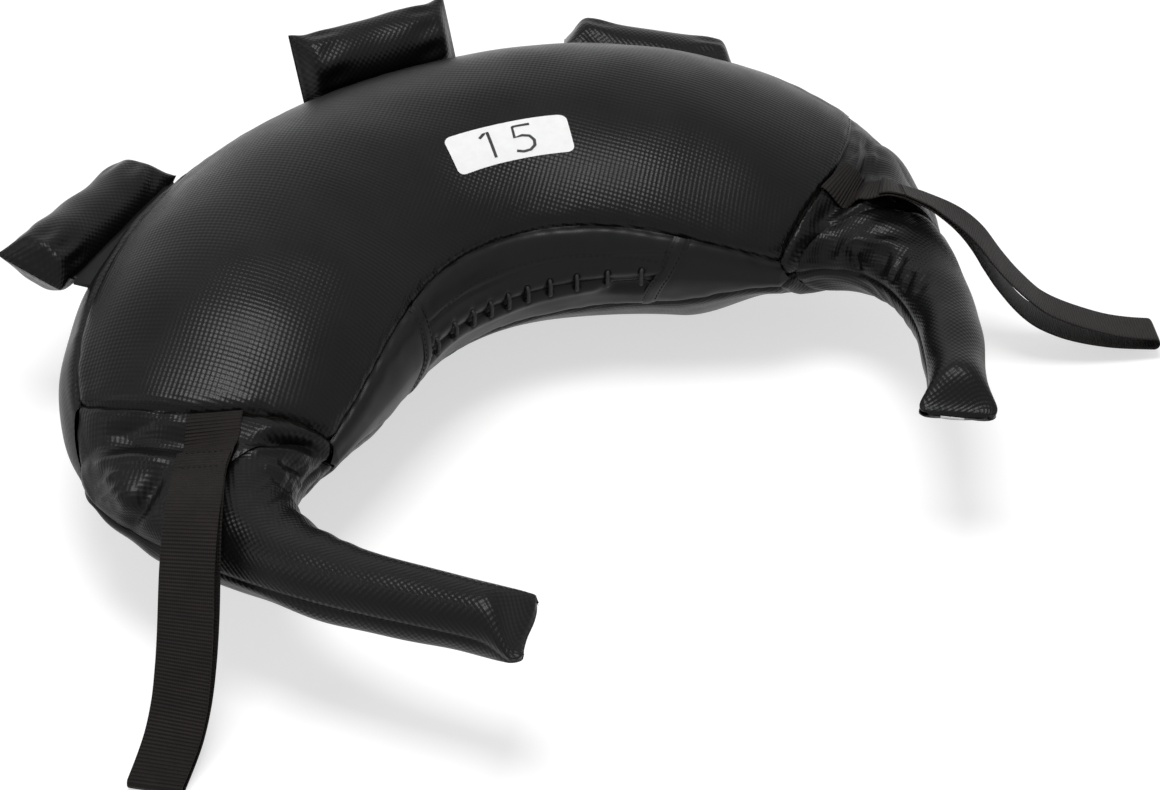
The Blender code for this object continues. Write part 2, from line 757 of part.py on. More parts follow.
def grip_point(name, y, angle, inset=0.0, share=1.0):
    """Point round a grip's roll, at a place y along it."""
    origin, tangent, outward, upward, _ = grip_frame(name)
    length = GRIP[name]["length"]
    tilt = GRIP[name]["tilt"] + GRIP[name]["twist"] * y / length
    half, crown, power = grip_section(length, y)
    reach = outward * math.cos(tilt) + upward * math.sin(tilt)
    rise = upward * math.cos(tilt) - outward * math.sin(tilt)
    across = (half - inset) * share * signed_power(math.cos(angle), power)
    up = max(crown - inset, FIT) * share * signed_power(math.sin(angle), power)
    centre = origin + reach * (GRIP_REACH + half)
    return centre + tangent * y + reach * across + rise * up


def grip(name, group):
    """Roll grip: a cover pressed flat at both ends, a foam roll in it, and the sewn tab."""
    length = GRIP[name]["length"]

    def cover(u, v):
        return grip_point(name, mix(-length / 2, length / 2, u), 2 * math.pi * v)

    patch(f"grip_cover_{name}", cover, 14, 16, group, "embossed", flip=True, wrap=True)
    core_half = length / 2 - GRIP_CORE_GAP

    def core(u, angle, share):
        return grip_point(name, u * core_half, angle, SKIN + CORE_FIT, share)

    pod(f"grip_core_{name}", core, 12, 12, group, "foam")
    origin, tangent, _, _, normal = grip_frame(name)
    tab_half = length / 2 - GRIP_END_LENGTH / 2

    def tab(u, v):
        y = mix(-tab_half, tab_half, u)
        outer = origin + tangent * y + normal * TAB_REACH
        along = GRIP[name]["angle"] / END_ANGLE
        along += math.asin(y / (BOW_DEPTH + MIDDLE_HALF_WIDTH)) / END_ANGLE
        inner = skin(along, GRIP[name]["seat"], -2 * FIT)
        return mix(inner, outer, v)

    patch(f"grip_tab_{name}", tab, 10, 1, group, "smooth", TAB_THICKNESS, 0)


def build():
    """Build every piece of the bag."""
    clear_scene()
    group = collection("sandbag_trainer")
    cutters = collection("cutters")
    face_panel("top_panel", True, group)
    face_panel("bottom_panel", False, group)
    outer_gusset(group)
    placket(group, cutters)
    lacing(group)
    filler_bag(group)
    for side, ends in (("left", PLACKET_LEFT_ANGLES), ("right", PLACKET_RIGHT_ANGLES)):
        inner_gusset(side, group)
        binding(side, ends, group)
        for upper in (True, False):
            end_panel(side, upper, group)
            handle_cover(side, upper, group)
        handle_core(side, group)
        strap_root(side, group)
        strap_loop(side, group)
    for name in GRIP:
        grip(name, group)


build()
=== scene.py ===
"""Looks of the crescent sandbag trainer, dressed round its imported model.

Metres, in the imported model's frame: the origin is on the floor under the middle of the crescent,
+Y points to its outer side, +Z up. Every skin is laid on the surface that the CAD panels follow,
and then gets its seams, folds, puckers and stitches.
"""
import collections
import math

import bmesh
import bpy
import numpy as np
from mathutils import Matrix, Vector
from mathutils.bvhtree import BVHTree


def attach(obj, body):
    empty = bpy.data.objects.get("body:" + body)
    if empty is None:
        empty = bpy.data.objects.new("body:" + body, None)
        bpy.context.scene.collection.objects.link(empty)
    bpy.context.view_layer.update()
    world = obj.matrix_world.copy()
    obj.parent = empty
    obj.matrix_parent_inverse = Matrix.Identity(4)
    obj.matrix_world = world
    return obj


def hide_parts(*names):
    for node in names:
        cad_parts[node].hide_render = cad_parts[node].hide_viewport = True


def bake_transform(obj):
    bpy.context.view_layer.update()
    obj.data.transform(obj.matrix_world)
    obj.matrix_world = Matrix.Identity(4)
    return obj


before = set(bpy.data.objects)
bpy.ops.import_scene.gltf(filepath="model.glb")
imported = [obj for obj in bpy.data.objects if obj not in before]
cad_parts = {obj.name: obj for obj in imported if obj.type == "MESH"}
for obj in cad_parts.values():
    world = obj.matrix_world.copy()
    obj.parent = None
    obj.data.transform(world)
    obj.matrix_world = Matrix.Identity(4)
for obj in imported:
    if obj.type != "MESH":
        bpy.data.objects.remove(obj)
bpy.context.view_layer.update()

# Camera: place, view direction and lens at the photograph's angle.
CAMERA_EYE = (-0.6083, -1.1669, 1.0560)
CAMERA_FORWARD = (0.4029, 0.6422, -0.6521)
CAMERA_UP = (0.3465, 0.5524, 0.7581)
CAMERA_LENS = 76.1
CAMERA_SENSOR = 36.0

# The bag's own measures, close to its CAD's.
SIGN = {"left": -1, "right": 1}
BOW_HALF_SPAN = 0.238
BOW_DEPTH = 0.231
BOW_PINCH = 0.0075
END_ANGLE = 1.218
MIDDLE_HALF_WIDTH = 0.1125
END_HALF_WIDTH = 0.0752
WIDTH_POWER = 4.8
MIDDLE_CROWN = 0.0862
END_CROWN = 0.0440
CROWN_POWER = 3.05
END_RISE = 0.0400
END_DEPTH = 0.0424
FLOOR_SINK = 0.0022
FLAT_SHARE = 0.68
SECTION_POWER = 1.05
END_POWER = 0.95
HANDLE_POWER = 0.90
LOW_POWER = 1.30
SKIN = 0.0012
OUTER_SEAM_ANGLES = (0.69, 0.50)
INNER_SEAM_ANGLES = (0.50, 0.29)
END_SLANT = 0.0230
END_SLANT_POWER = 1.5
GUSSET_POINT = 0.0120
HANDLE = {
    "left": {"length": 0.2556, "turn": math.radians(-38), "power": 2.4, "slant": 0.004,
             "shoulder": 0.0510},
    "right": {"length": 0.2366, "turn": math.radians(-37.2), "power": 2.2, "slant": 0.0,
              "shoulder": 0.0400},
}
PATH_STEPS = 240
SHOULDER_POWER = 1.45
HANDLE_HALF_WIDTH = 0.0257
HANDLE_CROWN = 0.0246
HANDLE_END_HALF_WIDTH = 0.0176
HANDLE_END_CROWN = 0.0208
HANDLE_RISE = 0.0200
TIP_HALF_WIDTH = 0.0248
TIP_CROWN = 0.0028
TIP_LENGTH = 0.0305
TIP_POWER = 0.45
TIP_CORNER = 0.0090
TIP_FULLNESS = 1.8
NECK = 0.0400
NECK_SLANT = 0.0220
POINT_SHARE = 3 / 14
PLACKET = {"left": (-0.60, -0.68), "right": (0.86, 0.72)}
BINDING_WIDTH = 0.0080
STITCHES = 10
STITCH_START = -0.572
STITCH_END = 0.708
STITCH_HALF = 0.0080
HEM = 0.0200
CORD_RADIUS = 0.0015
# One turn of the lacing: rise from the joint, lift off the flap, share of the way to the next hole.
LACE_TURN = ((1.0, -0.3, 0.0), (0.85, 0.75, 0.0), (0.0, 0.80, 0.0), (-0.85, 0.75, 0.0),
             (-1.0, -0.3, 0.0), (-0.85, -1.6, 0.1), (0.0, -1.9, 0.5), (0.85, -1.6, 0.9))
# Dents at each lace hole and beside it: share of the hole's rise, width and depth.
LACE_DENTS = ((1.0, 0.0022, 0.0016), (0.1, 0.0045, 0.0008))
# Hollow of the lower flap: its line in stitches and rise, its width and height.
HOLLOW_STITCHES = (7.9, 8.6, 9.5)
HOLLOW_RISE = -0.0125
HOLLOW_WIDTH = 0.0045
HOLLOW_HEIGHT = -0.0060
GATHERS = 9
STRAP_WIDTH = 0.0320
PLY = 0.0016
STRAP = {
    "left": {"ahead": 0.0450, "aside": 0.0021, "run": 0.1260, "heading": math.radians(-48.2),
             "sway": 0.0085, "gap": 0.0100,
             "rolls": [math.radians(a) for a in (14, 13, 8, 6.5, 5, 1, -3.5, -6, -4.6, -2, 0)],
             "fall_shares": ((0.0, 1.0), (0.10, 1.03), (0.20, 1.02), (0.30, 0.95), (0.40, 0.80),
                             (0.50, 0.60), (0.60, 0.42), (0.70, 0.265), (0.83, 0.122), (1.0, 0.0))},
    "right": {"ahead": 0.0450, "aside": 0.0021, "run": 0.1768, "heading": math.radians(-33.0),
              "sway": 0.0090, "gap": 0.0100,
              "rolls": [math.radians(a) for a in (24, 19, 8, -4, 4, 8, 10, 11, 12, 12, 12)],
              "fall_shares": ((0.0, 1.0), (0.10, 0.945), (0.20, 0.855), (0.28, 0.73), (0.36, 0.54),
                              (0.43, 0.395), (0.51, 0.27), (0.60, 0.185), (0.70, 0.125), (0.83, 0.075),
                              (1.0, 0.04))},
}
FIT = 0.0003
GAP_START_SHARE = 0.12
GAP_END_SHARE = 0.52
ROOT_INSET_SHARE = 0.7
PLY_START_SHARE = 0.70
GRIP = {
    "left": {"angle": -0.612, "seat": 0.31, "tilt": math.radians(0), "twist": math.radians(-34),
             "dip": 0.0, "length": 0.136, "standoff": 0.0030},
    "centre": {"angle": 0.092, "seat": 0.34, "tilt": math.radians(64), "twist": 0.0,
               "dip": 0.0, "length": 0.114, "standoff": 0.0044},
    "right": {"angle": 0.67, "seat": 0.29, "tilt": math.radians(-27), "twist": 0.0,
              "dip": math.radians(8), "length": 0.122, "standoff": 0.0046},
}
GRIP_HALF_WIDTH = 0.0222
GRIP_CROWN = 0.0190
GRIP_REACH = 0.0026
GRIP_END_HALF_WIDTH = 0.0235
GRIP_END_CROWN = 0.0030
GRIP_END_LENGTH = 0.0160
GRIP_END_POWER = 0.8
UP = np.array([0.0, 0.0, 1.0])
LINING_SHARE = (0.22, 0.60)
LINING_OUT = 0.0009
LINING_DROP = 0.0003
LINING_WIDTH = 0.0015
LINING_THICKNESS = 0.0004
WEB_LENGTH_SHARE = 0.80
WEB_OVERLAP = 0.0012
WEB_THICKNESS = 0.0012

# Stuffing: how far it stays inside its cover.
FILLER_INSET = 0.0075
FILLER_REACH = 0.0260
CORE_INSET = 0.0055
CORE_START = 0.0520
CORE_TIP_GAP = 0.0120
GRIP_CORE_INSET = 0.0035
CORE_THINNEST = 0.0003

# Seams and fabric.
TUCK = 0.0026
TUCK_WIDTH = 0.0024
PLACKET_TUCK = 0.0012
FLOOR_CLEARANCE = 0.0002
CLOSING = 0.0012
CLOSED_HALF = 0.0002
RIBBON_POWER = 0.35
EMBOSS_CELL = 0.0020
RIB_PITCH = 0.0021
YARN_PITCH = 0.0011
THREAD_RADIUS = 0.00032
STITCH_RINGS = 5
STITCH_SIDES = 6
# Pitch and length of the stitches.
SEAM_STITCH = (0.0042, 0.0029)
BAND_STITCH = (0.0036, 0.0025)
BOX_STITCH = (0.0034, 0.0024)
END_STITCH_INSET = 0.0042
BAND_STITCH_INSET = 0.0017
BOX_HALF_SHARE = 0.42

# Printed plate: its corners as places on the bow with their angles, and its figures in metres.
PLATE_CORNERS = ((-0.006, 1.911), (0.438, 1.920), (0.457, 2.182), (-0.030, 2.182))
PLATE_SIZE = (0.098, 0.041)
PLATE_RADIUS = 0.0062
PLATE_LIFT = 0.0003
FIGURE_LIFT = 0.0005
FIGURE_HALF_STROKE = 0.0013
FIGURES = {
    "one": [(-0.0205, -0.0090), (-0.0160, -0.0128), (-0.0128, -0.0140), (-0.0128, 0.0140)],
    "five": [(0.0210, -0.0140), (0.0075, -0.0140), (0.0068, -0.0020), (0.0130, -0.0030),
             (0.0185, -0.0012), (0.0212, 0.0040), (0.0205, 0.0095), (0.0165, 0.0132),
             (0.0110, 0.0140), (0.0055, 0.0120)],
}

# Stage: the sky as it lights and as it is seen, and each lamp's place, size and power.
FLOOR_GLOW = 0.62
SKY_LIGHT = 0.35
SKY_SEEN = 1.0
FLOOR_HALF = 6.0
LAMP_AIM = (0, -0.15, 0.05)
LAMPS = {
    "lamp_over": ((-0.25, -0.35, 2.2), (0.9, 0.7), 34.0),
    "lamp_back": ((0.3, 2.0, 1.6), (1.4, 0.6), 1.8),
    "lamp_left": ((-1.9, 0.2, 1.3), (0.7, 0.7), 3.5),
}

COLOURS = {
    "embossed": (0.0036, 0.0036, 0.0038),
    "smooth": (0.0060, 0.0060, 0.0063),
    "webbing": (0.0070, 0.0053, 0.0045),
    "cord": (0.012, 0.012, 0.012),
    "thread": (0.0070, 0.0070, 0.0075),
    "print": (0.800, 0.800, 0.800),
    "ink": (0.020, 0.020, 0.020),
    "canvas": (0.180, 0.160, 0.130),
    "foam": (0.060, 0.060, 0.065),
    "floor": (0.500, 0.500, 0.500),
}


# ---- shape of the bag

def ease(x):
    """Ease from 0 to 1 with level ends."""
    x = np.clip(x, 0.0, 1.0)
    return x * x * (3 - 2 * x)


def mix(a, b, x):
    """Value at share x of the way from a to b."""
    return a + (b - a) * x


def hump(x, centre, width):
    """Smooth hump of height 1."""
    return np.exp(-((x - centre) / width) ** 2)


def signed_power(x, power):
    """Power that keeps the sign of x."""
    return np.sign(x) * np.abs(x) ** power


def bow(angle):
    """Centre and outward direction of the bow in plan."""
    x = BOW_HALF_SPAN * np.sin(angle) - BOW_PINCH * np.sin(3 * angle)
    y = BOW_DEPTH * np.cos(angle) - BOW_DEPTH
    run_x = BOW_HALF_SPAN * np.cos(angle) - 3 * BOW_PINCH * np.cos(3 * angle)
    run_y = -BOW_DEPTH * np.sin(angle)
    run = np.hypot(run_x, run_y)
    return x, y, -run_y / run, run_x / run


def handle_path(side):
    """Sampled path of one handle: distance, x, y and heading, for the +X side."""
    shape = HANDLE[side]
    x, y, out_x, out_y = bow(END_ANGLE)
    lead = math.atan2(out_y, out_x)
    share = np.linspace(0, 1, PATH_STEPS + 1)
    heading = lead + (shape["turn"] - lead) * (1 - (1 - share) ** shape["power"])
    step = shape["length"] / PATH_STEPS
    run_x = np.concatenate([[0], np.cumsum(np.sin((heading[1:] + heading[:-1]) / 2))]) * step
    run_y = np.concatenate([[0], np.cumsum(-np.cos((heading[1:] + heading[:-1]) / 2))]) * step
    return share * shape["length"], x + run_x, y + run_y, heading


PATHS = {side: handle_path(side) for side in HANDLE}

Section = collections.namedtuple(
    "Section", "x y out_x out_y half crown depth centre edge power low_power")


def bag_section(along):
    """Sections of the bow."""
    share = np.minimum(np.abs(along), 1)
    x, y, out_x, out_y = bow(np.clip(along, -1, 1) * END_ANGLE)
    half = mix(MIDDLE_HALF_WIDTH, END_HALF_WIDTH, share ** WIDTH_POWER)
    crown = mix(MIDDLE_CROWN, END_CROWN, share ** CROWN_POWER)
    centre = crown + END_RISE * share ** 2
    end = ease((share - FLAT_SHARE) / (1 - FLAT_SHARE))
    depth = centre + FLOOR_SINK - (END_CROWN + END_RISE + FLOOR_SINK - END_DEPTH) * end
    return Section(x, y, out_x, out_y, half, crown, depth, centre, np.zeros_like(share),
                   mix(SECTION_POWER, END_POWER, end), np.full_like(share, LOW_POWER))


def handle_section(side, distance):
    """Sections of a handle at distances past the end seam."""
    sign, shape = SIGN[side], HANDLE[side]
    length = shape["length"]
    steps, path_x, path_y, headings = PATHS[side]
    heading = np.interp(distance, steps, headings)
    past = np.maximum(distance - length, 0)
    x = sign * (np.interp(distance, steps, path_x) + np.sin(heading) * past)
    y = np.interp(distance, steps, path_y) - np.cos(heading) * past
    neck = np.exp(-(np.maximum(distance, 0) / shape["shoulder"]) ** SHOULDER_POWER)
    flat = ease((distance - length + TIP_LENGTH) / TIP_LENGTH) ** TIP_FULLNESS
    taper = ease(distance / (length - TIP_LENGTH))
    round_half = mix(HANDLE_HALF_WIDTH, HANDLE_END_HALF_WIDTH, taper)
    round_crown = mix(HANDLE_CROWN, HANDLE_END_CROWN, taper)
    corner = np.clip(1 - (length + shape["slant"] - distance) / TIP_CORNER, 0, 0.96)

    def blend(tube, shoulder, tip):
        return mix(mix(tube, shoulder, neck), tip, flat)

    half = blend(round_half, END_HALF_WIDTH, TIP_HALF_WIDTH) - TIP_CORNER * (1 - np.sqrt(1 - corner ** 2))
    centre = END_CROWN + END_RISE + HANDLE_RISE * ease(distance / length)
    return Section(x, y, sign * np.cos(heading), np.sin(heading), half,
                   blend(round_crown, END_CROWN, TIP_CROWN), blend(round_crown, END_DEPTH, TIP_CROWN),
                   centre, SKIN * flat, blend(HANDLE_POWER, END_POWER, TIP_POWER),
                   blend(HANDLE_POWER, LOW_POWER, TIP_POWER))


def section(along):
    """Sections of the bag at places along it: +-1 is the end seam, and beyond that is the handle."""
    along = np.asarray(along, float)
    cut = bag_section(along)
    for side, sign in SIGN.items():
        past = along * sign > 1
        if past.any():
            handle = handle_section(side, (np.abs(along) - 1) * HANDLE[side]["length"])
            cut = Section(*(np.where(past, new, old) for new, old in zip(handle, cut)))
    return cut


def skin(along, angle, inset=0.0, share=1.0):
    """Points of the bag's outer surface, or of a surface inset from it, round the section."""
    along, angle = np.broadcast_arrays(np.asarray(along, float), np.asarray(angle, float))
    cut = section(along)
    upper = np.sin(angle) > 0
    power = np.where(upper, cut.power, cut.low_power)
    across = (cut.half - inset) * share * signed_power(np.cos(angle), power)
    height = np.where(upper, cut.crown, cut.depth) - inset
    lift = np.where(upper, cut.edge, -cut.edge)
    rise = lift + (height - cut.edge) * share * signed_power(np.sin(angle), power)
    z = np.maximum(cut.centre + rise, inset)
    return np.stack([cut.x + cut.out_x * across, cut.y + cut.out_y * across, z], -1)


def spine(along):
    """Points on the line through the middle of the bag."""
    cut = section(along)
    return np.stack([cut.x, cut.y, cut.centre], -1)


def along_at(side, distance):
    """Place along the bag at a distance past the bow's end."""
    return SIGN[side] * (1 + distance / HANDLE[side]["length"])


def outer_seam(along):
    """Angle of the seam between a face panel and the outer gusset."""
    return mix(*OUTER_SEAM_ANGLES, np.minimum(np.abs(along), 1.0) ** 2)


def inner_seam(along):
    """Angle, from the inward direction, of the seam between a face panel and the inner gusset."""
    return mix(*INNER_SEAM_ANGLES, np.minimum(np.abs(along), 1.0) ** 2)


def seam_place(side, distance):
    """Place along the bag at distances past the bow's end, or short of it where negative."""
    on_bow = SIGN[side] * (1 + distance / (BOW_HALF_SPAN * END_ANGLE))
    return np.where(distance > 0, along_at(side, distance), on_bow)


def end_slant(share):
    """Distance by which the end seam falls back, at a share of the way from outer to inner seam."""
    return END_SLANT * np.maximum(0, 1 - 2 * share) ** END_SLANT_POWER


def end_edge(side, share):
    """Edge of an end panel at the gussets and the face: distance past the bow's end, and angle."""
    outer = np.clip(share / POINT_SHARE, 0, 1)
    inner = np.clip((1 - share) / POINT_SHARE, 0, 1)
    middle = np.clip((share - POINT_SHARE) / (1 - 2 * POINT_SHARE), 0, 1)
    distance = np.where(outer < 1, mix(GUSSET_POINT, -END_SLANT, outer), -end_slant(middle))
    distance = np.where(inner < 1, GUSSET_POINT * (1 - inner), distance)
    place = seam_place(side, distance)
    angle = mix(outer_seam(place), math.pi - inner_seam(place), middle)
    angle = np.where(outer < 1, outer_seam(place) * outer, angle)
    return distance, np.where(inner < 1, math.pi - INNER_SEAM_ANGLES[1] * inner, angle)


# ---- grids, noise and meshes

# Folds of the stuffed ends: height and width in mm, then the points of each fold's line, with their
# distance past the bow's end in mm and their angle in degrees.
MM = 0.001
FOLDS = {
    "left": (
        (-10, 11.5, (-2, 36), (4.4, 55), (10.5, 69), (15, 81), (17.5, 96), (18.5, 108)),
        (-3.4, 4.2, (25.4, 113), (24.9, 128), (21.9, 147), (14.9, 166)),
        (1.8, 3.6, (17.5, 113), (13.5, 122), (10.5, 140), (3, 160)),
        (4, 5.8, (5.4, 23), (8.5, 35), (13, 50), (19.5, 61), (26.9, 74)),
        (3.4, 3.4, (31.5, 103), (31.5, 123), (30, 144), (20, 168)),
        (3.4, 8, (12.4, 30), (19.9, 35), (29.4, 33), (30, 14)),
        (-4.2, 4.8, (27.9, 63), (32.4, 49), (35.8, 30), (33, 4)),
        (1.4, 1.9, (13.4, 17), (17.4, 33), (18.9, 42)),
        (1.4, 1.9, (16.4, 8), (22.4, 28), (24.4, 39)),
        (1.2, 1.9, (21.4, 13), (26.4, 27), (27.4, 38)),
        (2.6, 6.2, (46.3, 118), (46.8, 133), (53.8, 150)),
        (-2.6, 3.4, (52.8, 127), (59.3, 144), (58.8, 161)),
        (-2.4, 2.8, (42, 138), (40, 152), (36, 172)),
        (2.2, 3, (46, 150), (47, 163), (48, 178)),
        (1.6, 2.6, (37.3, 150), (30, 170)),
    ),
    "right": (
        (-8.5, 9.5, (6, 58), (12, 72), (15, 86), (17.4, 98), (19, 112), (20.5, 128), (24.9, 147)),
        (1.3, 2.1, (-6, 56), (4.9, 77), (14.4, 95)),
        (-1.4, 2, (-2.6, 52), (8.5, 72), (16, 88)),
        (1.3, 2.1, (3, 54), (11.9, 69), (18, 81)),
        (3.4, 3.6, (21.5, 128), (26, 114), (28.5, 98), (24, 72)),
        (3.8, 4, (42.8, 176), (43.3, 157), (43.8, 144), (48.8, 136), (61.8, 129), (78.2, 109)),
        (-2.8, 3.2, (50.8, 145), (54.8, 162), (61, 178)),
        (-1.6, 3.4, (72, 126), (80, 147), (79, 170)),
        (-3, 3.2, (84.2, 115), (91.2, 140), (94.7, 167)),
        (-2.4, 3.6, (103.2, 120), (108.7, 142), (110.7, 165)),
        (-1.4, 4, (113.1, 101), (120.1, 125), (124.6, 142)),
        (2.4, 10, (44.8, 124), (55.8, 103), (67.8, 83)),
    ),
}


def unit(vectors):
    """Vectors of length 1."""
    return vectors / np.maximum(np.linalg.norm(vectors, axis=-1, keepdims=True), 1e-12)


def facing(place, core):
    """Outward normals of a grid of points round a core line."""
    normal = unit(np.cross(np.gradient(place, axis=0), np.gradient(place, axis=1)))
    return normal * (1 if (normal * (place - core)).sum() > 0 else -1)


def runs(place):
    """Distances of a grid's points from its first and last row and its first and last column."""
    down = np.linalg.norm(np.diff(place, axis=0), axis=2)
    down = np.concatenate([np.zeros((1, place.shape[1])), np.cumsum(down, axis=0)])
    side = np.linalg.norm(np.diff(place, axis=1), axis=2)
    side = np.concatenate([np.zeros((place.shape[0], 1)), np.cumsum(side, axis=1)], axis=1)
    return down, down[-1:] - down, side, side[:, -1:] - side


def ripple(points, size, seed, terms=28):
    """Smooth noise with features of about the given size, mostly from -1 to 1."""
    rng = np.random.default_rng(seed)
    way = unit(rng.normal(size=(terms, 3))) * (2 * math.pi / size) * rng.uniform(0.5, 1.1, (terms, 1))
    shift = rng.uniform(0, 2 * math.pi, terms)
    return np.cos(points @ way.T + shift).sum(-1) / math.sqrt(terms * 1.4)


def travel(points):
    """Distance along a line at each of its points."""
    return np.concatenate([[0], np.cumsum(np.linalg.norm(np.diff(points, axis=0), axis=1))])


def sample(at, run, rows):
    """Rows of values found between the given ones, at places along their run."""
    return np.stack([np.interp(at, run, column) for column in rows.T], -1)


def seam_dip(run, depth=TUCK, width=TUCK_WIDTH):
    """Fabric turned in at a seam, and slightly full beside it."""
    return -depth * np.exp(-(run / width) ** 1.4) + 0.0004 * hump(run, 0.009, 0.006)


def pucker(run, place, seed, depth=0.0004, reach=0.008, size=0.011):
    """Small gathers that stand across a seam."""
    return depth * ripple(place, size, seed) * np.exp(-run / reach) * ease(run / 0.0015)


def creases(place, lines):
    """Sum of folds along lines: each has its points, width and height, and fades at its ends."""
    total = np.zeros(place.shape[:-1])
    for points, width, height in lines:
        nearest = np.full(total.shape, 1e3)
        share = np.zeros(total.shape)
        points = np.array(points, float)
        starts = travel(points)
        for first, last, start, length in zip(points[:-1], points[1:], starts, np.diff(starts)):
            way = (last - first) / length
            along = np.clip((place - first) @ way, 0, length)
            gap = np.linalg.norm(place - first - along[..., None] * way, axis=-1)
            share = np.where(gap < nearest, (start + along) / starts[-1], share)
            nearest = np.minimum(nearest, gap)
        fade = ease(share / 0.25) * ease((1 - share) / 0.25)
        total += height * hump(nearest, 0, width) * (0.25 + 0.75 * fade)
    return total


def end_folds(side, place):
    """Height of the folds of a stuffed end at points on its surface."""
    lines = []
    for height, width, *knots in FOLDS[side]:
        distance, angle = np.array(knots).T
        lines.append((skin(seam_place(side, distance * MM), np.radians(angle)), width * MM, height * MM))
    return creases(place, lines)


def link(name, data):
    """Object of the given data in the scene."""
    obj = bpy.data.objects.new(name, data)
    bpy.context.scene.collection.objects.link(obj)
    return obj


def grid_object(name, place, uv, out, finish, wrap=False):
    """Mesh object from a grid of points, facing out, with its sheet coordinates in metres."""
    normal = np.cross(np.gradient(place, axis=0), np.gradient(place, axis=1))
    if (normal * out).sum() < 0:
        place, uv = place[::-1], uv[::-1]
    index = np.arange(place[..., 0].size).reshape(place.shape[:2])
    if wrap:
        index = np.concatenate([index, index[:, :1]], axis=1)
    quads = np.stack([index[:-1, :-1], index[1:, :-1], index[1:, 1:], index[:-1, 1:]], -1).reshape(-1, 4)
    mesh = bpy.data.meshes.new(name)
    mesh.from_pydata(place.reshape(-1, 3).tolist(), [], quads.tolist())
    layer = mesh.uv_layers.new(name="UVMap")
    layer.data.foreach_set("uv", uv.reshape(-1, 2)[quads.reshape(-1)].astype(np.float32).reshape(-1))
    mesh.materials.append(MATERIAL[finish])
    mesh.shade_smooth()
    return link(name, mesh)


def dress(obj, body, nodes=()):
    """Hang a piece on the body it rides on, and hide the CAD parts that it stands for."""
    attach(obj, body)
    if nodes:
        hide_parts(*nodes)


Panel = collections.namedtuple("Panel", "obj place out runs")


def panel(node, along, angle, shape, finish="embossed", in_plan=False):
    """Skin panel on the bag: a grid on its surface, moved out or in by shape(place, runs)."""
    base = skin(along, angle)
    core = spine(along)
    out = facing(base, core)
    edges = runs(base)
    place = base + out * shape(base, edges)[..., None]
    place[..., 2] = np.maximum(place[..., 2], FLOOR_CLEARANCE)
    sheet = plan_sheet(along, edges[2]) if in_plan else np.stack([edges[0], edges[2]], -1)
    obj = grid_object(f"{node}_skin", place, sheet, out, finish)
    dress(obj, "bag", [node])
    return Panel(obj, place, facing(place, core), runs(place))


def plan_sheet(along, side):
    """Sheet coordinates of a panel cut flat: its place in plan with its width rolled out."""
    cut = section(along)
    reach = side - side[:, side.shape[1] // 2][:, None]
    return np.stack([cut.x - cut.out_x * reach, cut.y - cut.out_y * reach], -1)


def sides_finer(count, bias=0.6):
    """Shares from 0 to 1 that lie closer together near both ends."""
    share = np.linspace(0, 1, count)
    return mix(share, 0.5 - 0.5 * np.cos(math.pi * share), bias)


def offset_line(patch, edge, distance, low=0.0, high=1.0):
    """Line on a panel at a distance from one edge: 0 and 1 are its rows, 2 and 3 its columns."""
    run = patch.runs[edge]
    places, outs = patch.place, patch.out
    if edge < 2:
        run, places, outs = run.T, places.swapaxes(0, 1), outs.swapaxes(0, 1)
    count = run.shape[0]
    points, normals = [], []
    for row in range(int(low * (count - 1)), int(high * (count - 1)) + 1):
        order = np.argsort(run[row])
        spot = np.interp(distance, run[row][order], order)
        first = min(int(spot), run.shape[1] - 2)
        share = spot - first
        points.append(mix(places[row, first], places[row, first + 1], share))
        normals.append(mix(outs[row, first], outs[row, first + 1], share))
    return np.array(points), unit(np.array(normals))


def stitches(name, points, normals, parent, pitch, length):
    """Row of thread stitches along a line on the fabric."""
    run = travel(points)
    stations = np.linspace(0, 1, STITCH_RINGS)
    bulge = np.sin(math.pi * stations)[:, None]
    corner = np.arange(STITCH_SIDES)
    turn = 2 * math.pi * corner[:, None] / STITCH_SIDES
    last = (STITCH_RINGS - 1) * STITCH_SIDES
    shell = [(a, a + STITCH_SIDES, b + STITCH_SIDES, b) for ring in range(0, last, STITCH_SIDES)
             for a, b in zip(ring + corner, ring + np.roll(corner, -1))]
    shell += [tuple(corner), tuple(last + corner[::-1])]
    verts, faces = [], []
    for start in np.arange(pitch / 2, run[-1] - pitch, pitch):
        at = start + stations * length
        centre, normal = sample(at, run, points), unit(sample(at, run, normals))
        across = unit(np.cross(unit(np.gradient(centre, axis=0)), normal))
        centre = centre + normal * THREAD_RADIUS * (1.6 * bulge - 0.8)
        rim = across[:, None] * np.cos(turn) + normal[:, None] * np.sin(turn)
        rim = rim * (THREAD_RADIUS * (0.55 + 0.45 * bulge))[..., None]
        faces += [[int(k) + len(verts) for k in face] for face in shell]
        verts += (centre[:, None] + rim).reshape(-1, 3).tolist()
    mesh = bpy.data.meshes.new(name)
    mesh.from_pydata(verts, [], faces)
    mesh.materials.append(MATERIAL["thread"])
    mesh.shade_smooth()
    link(name, mesh).parent = parent


# ---- materials

def socket_value(tree, socket, value):
    """Link a socket, or set it to a number."""
    if isinstance(value, bpy.types.NodeSocket):
        tree.links.new(value, socket)
    else:
        socket.default_value = value


def calc(tree, operation, *values):
    """Math node of the given numbers and sockets."""
    node = tree.nodes.new("ShaderNodeMath")
    node.operation = operation
    for socket, value in zip(node.inputs, values):
        socket_value(tree, socket, value)
    return node.outputs[0]


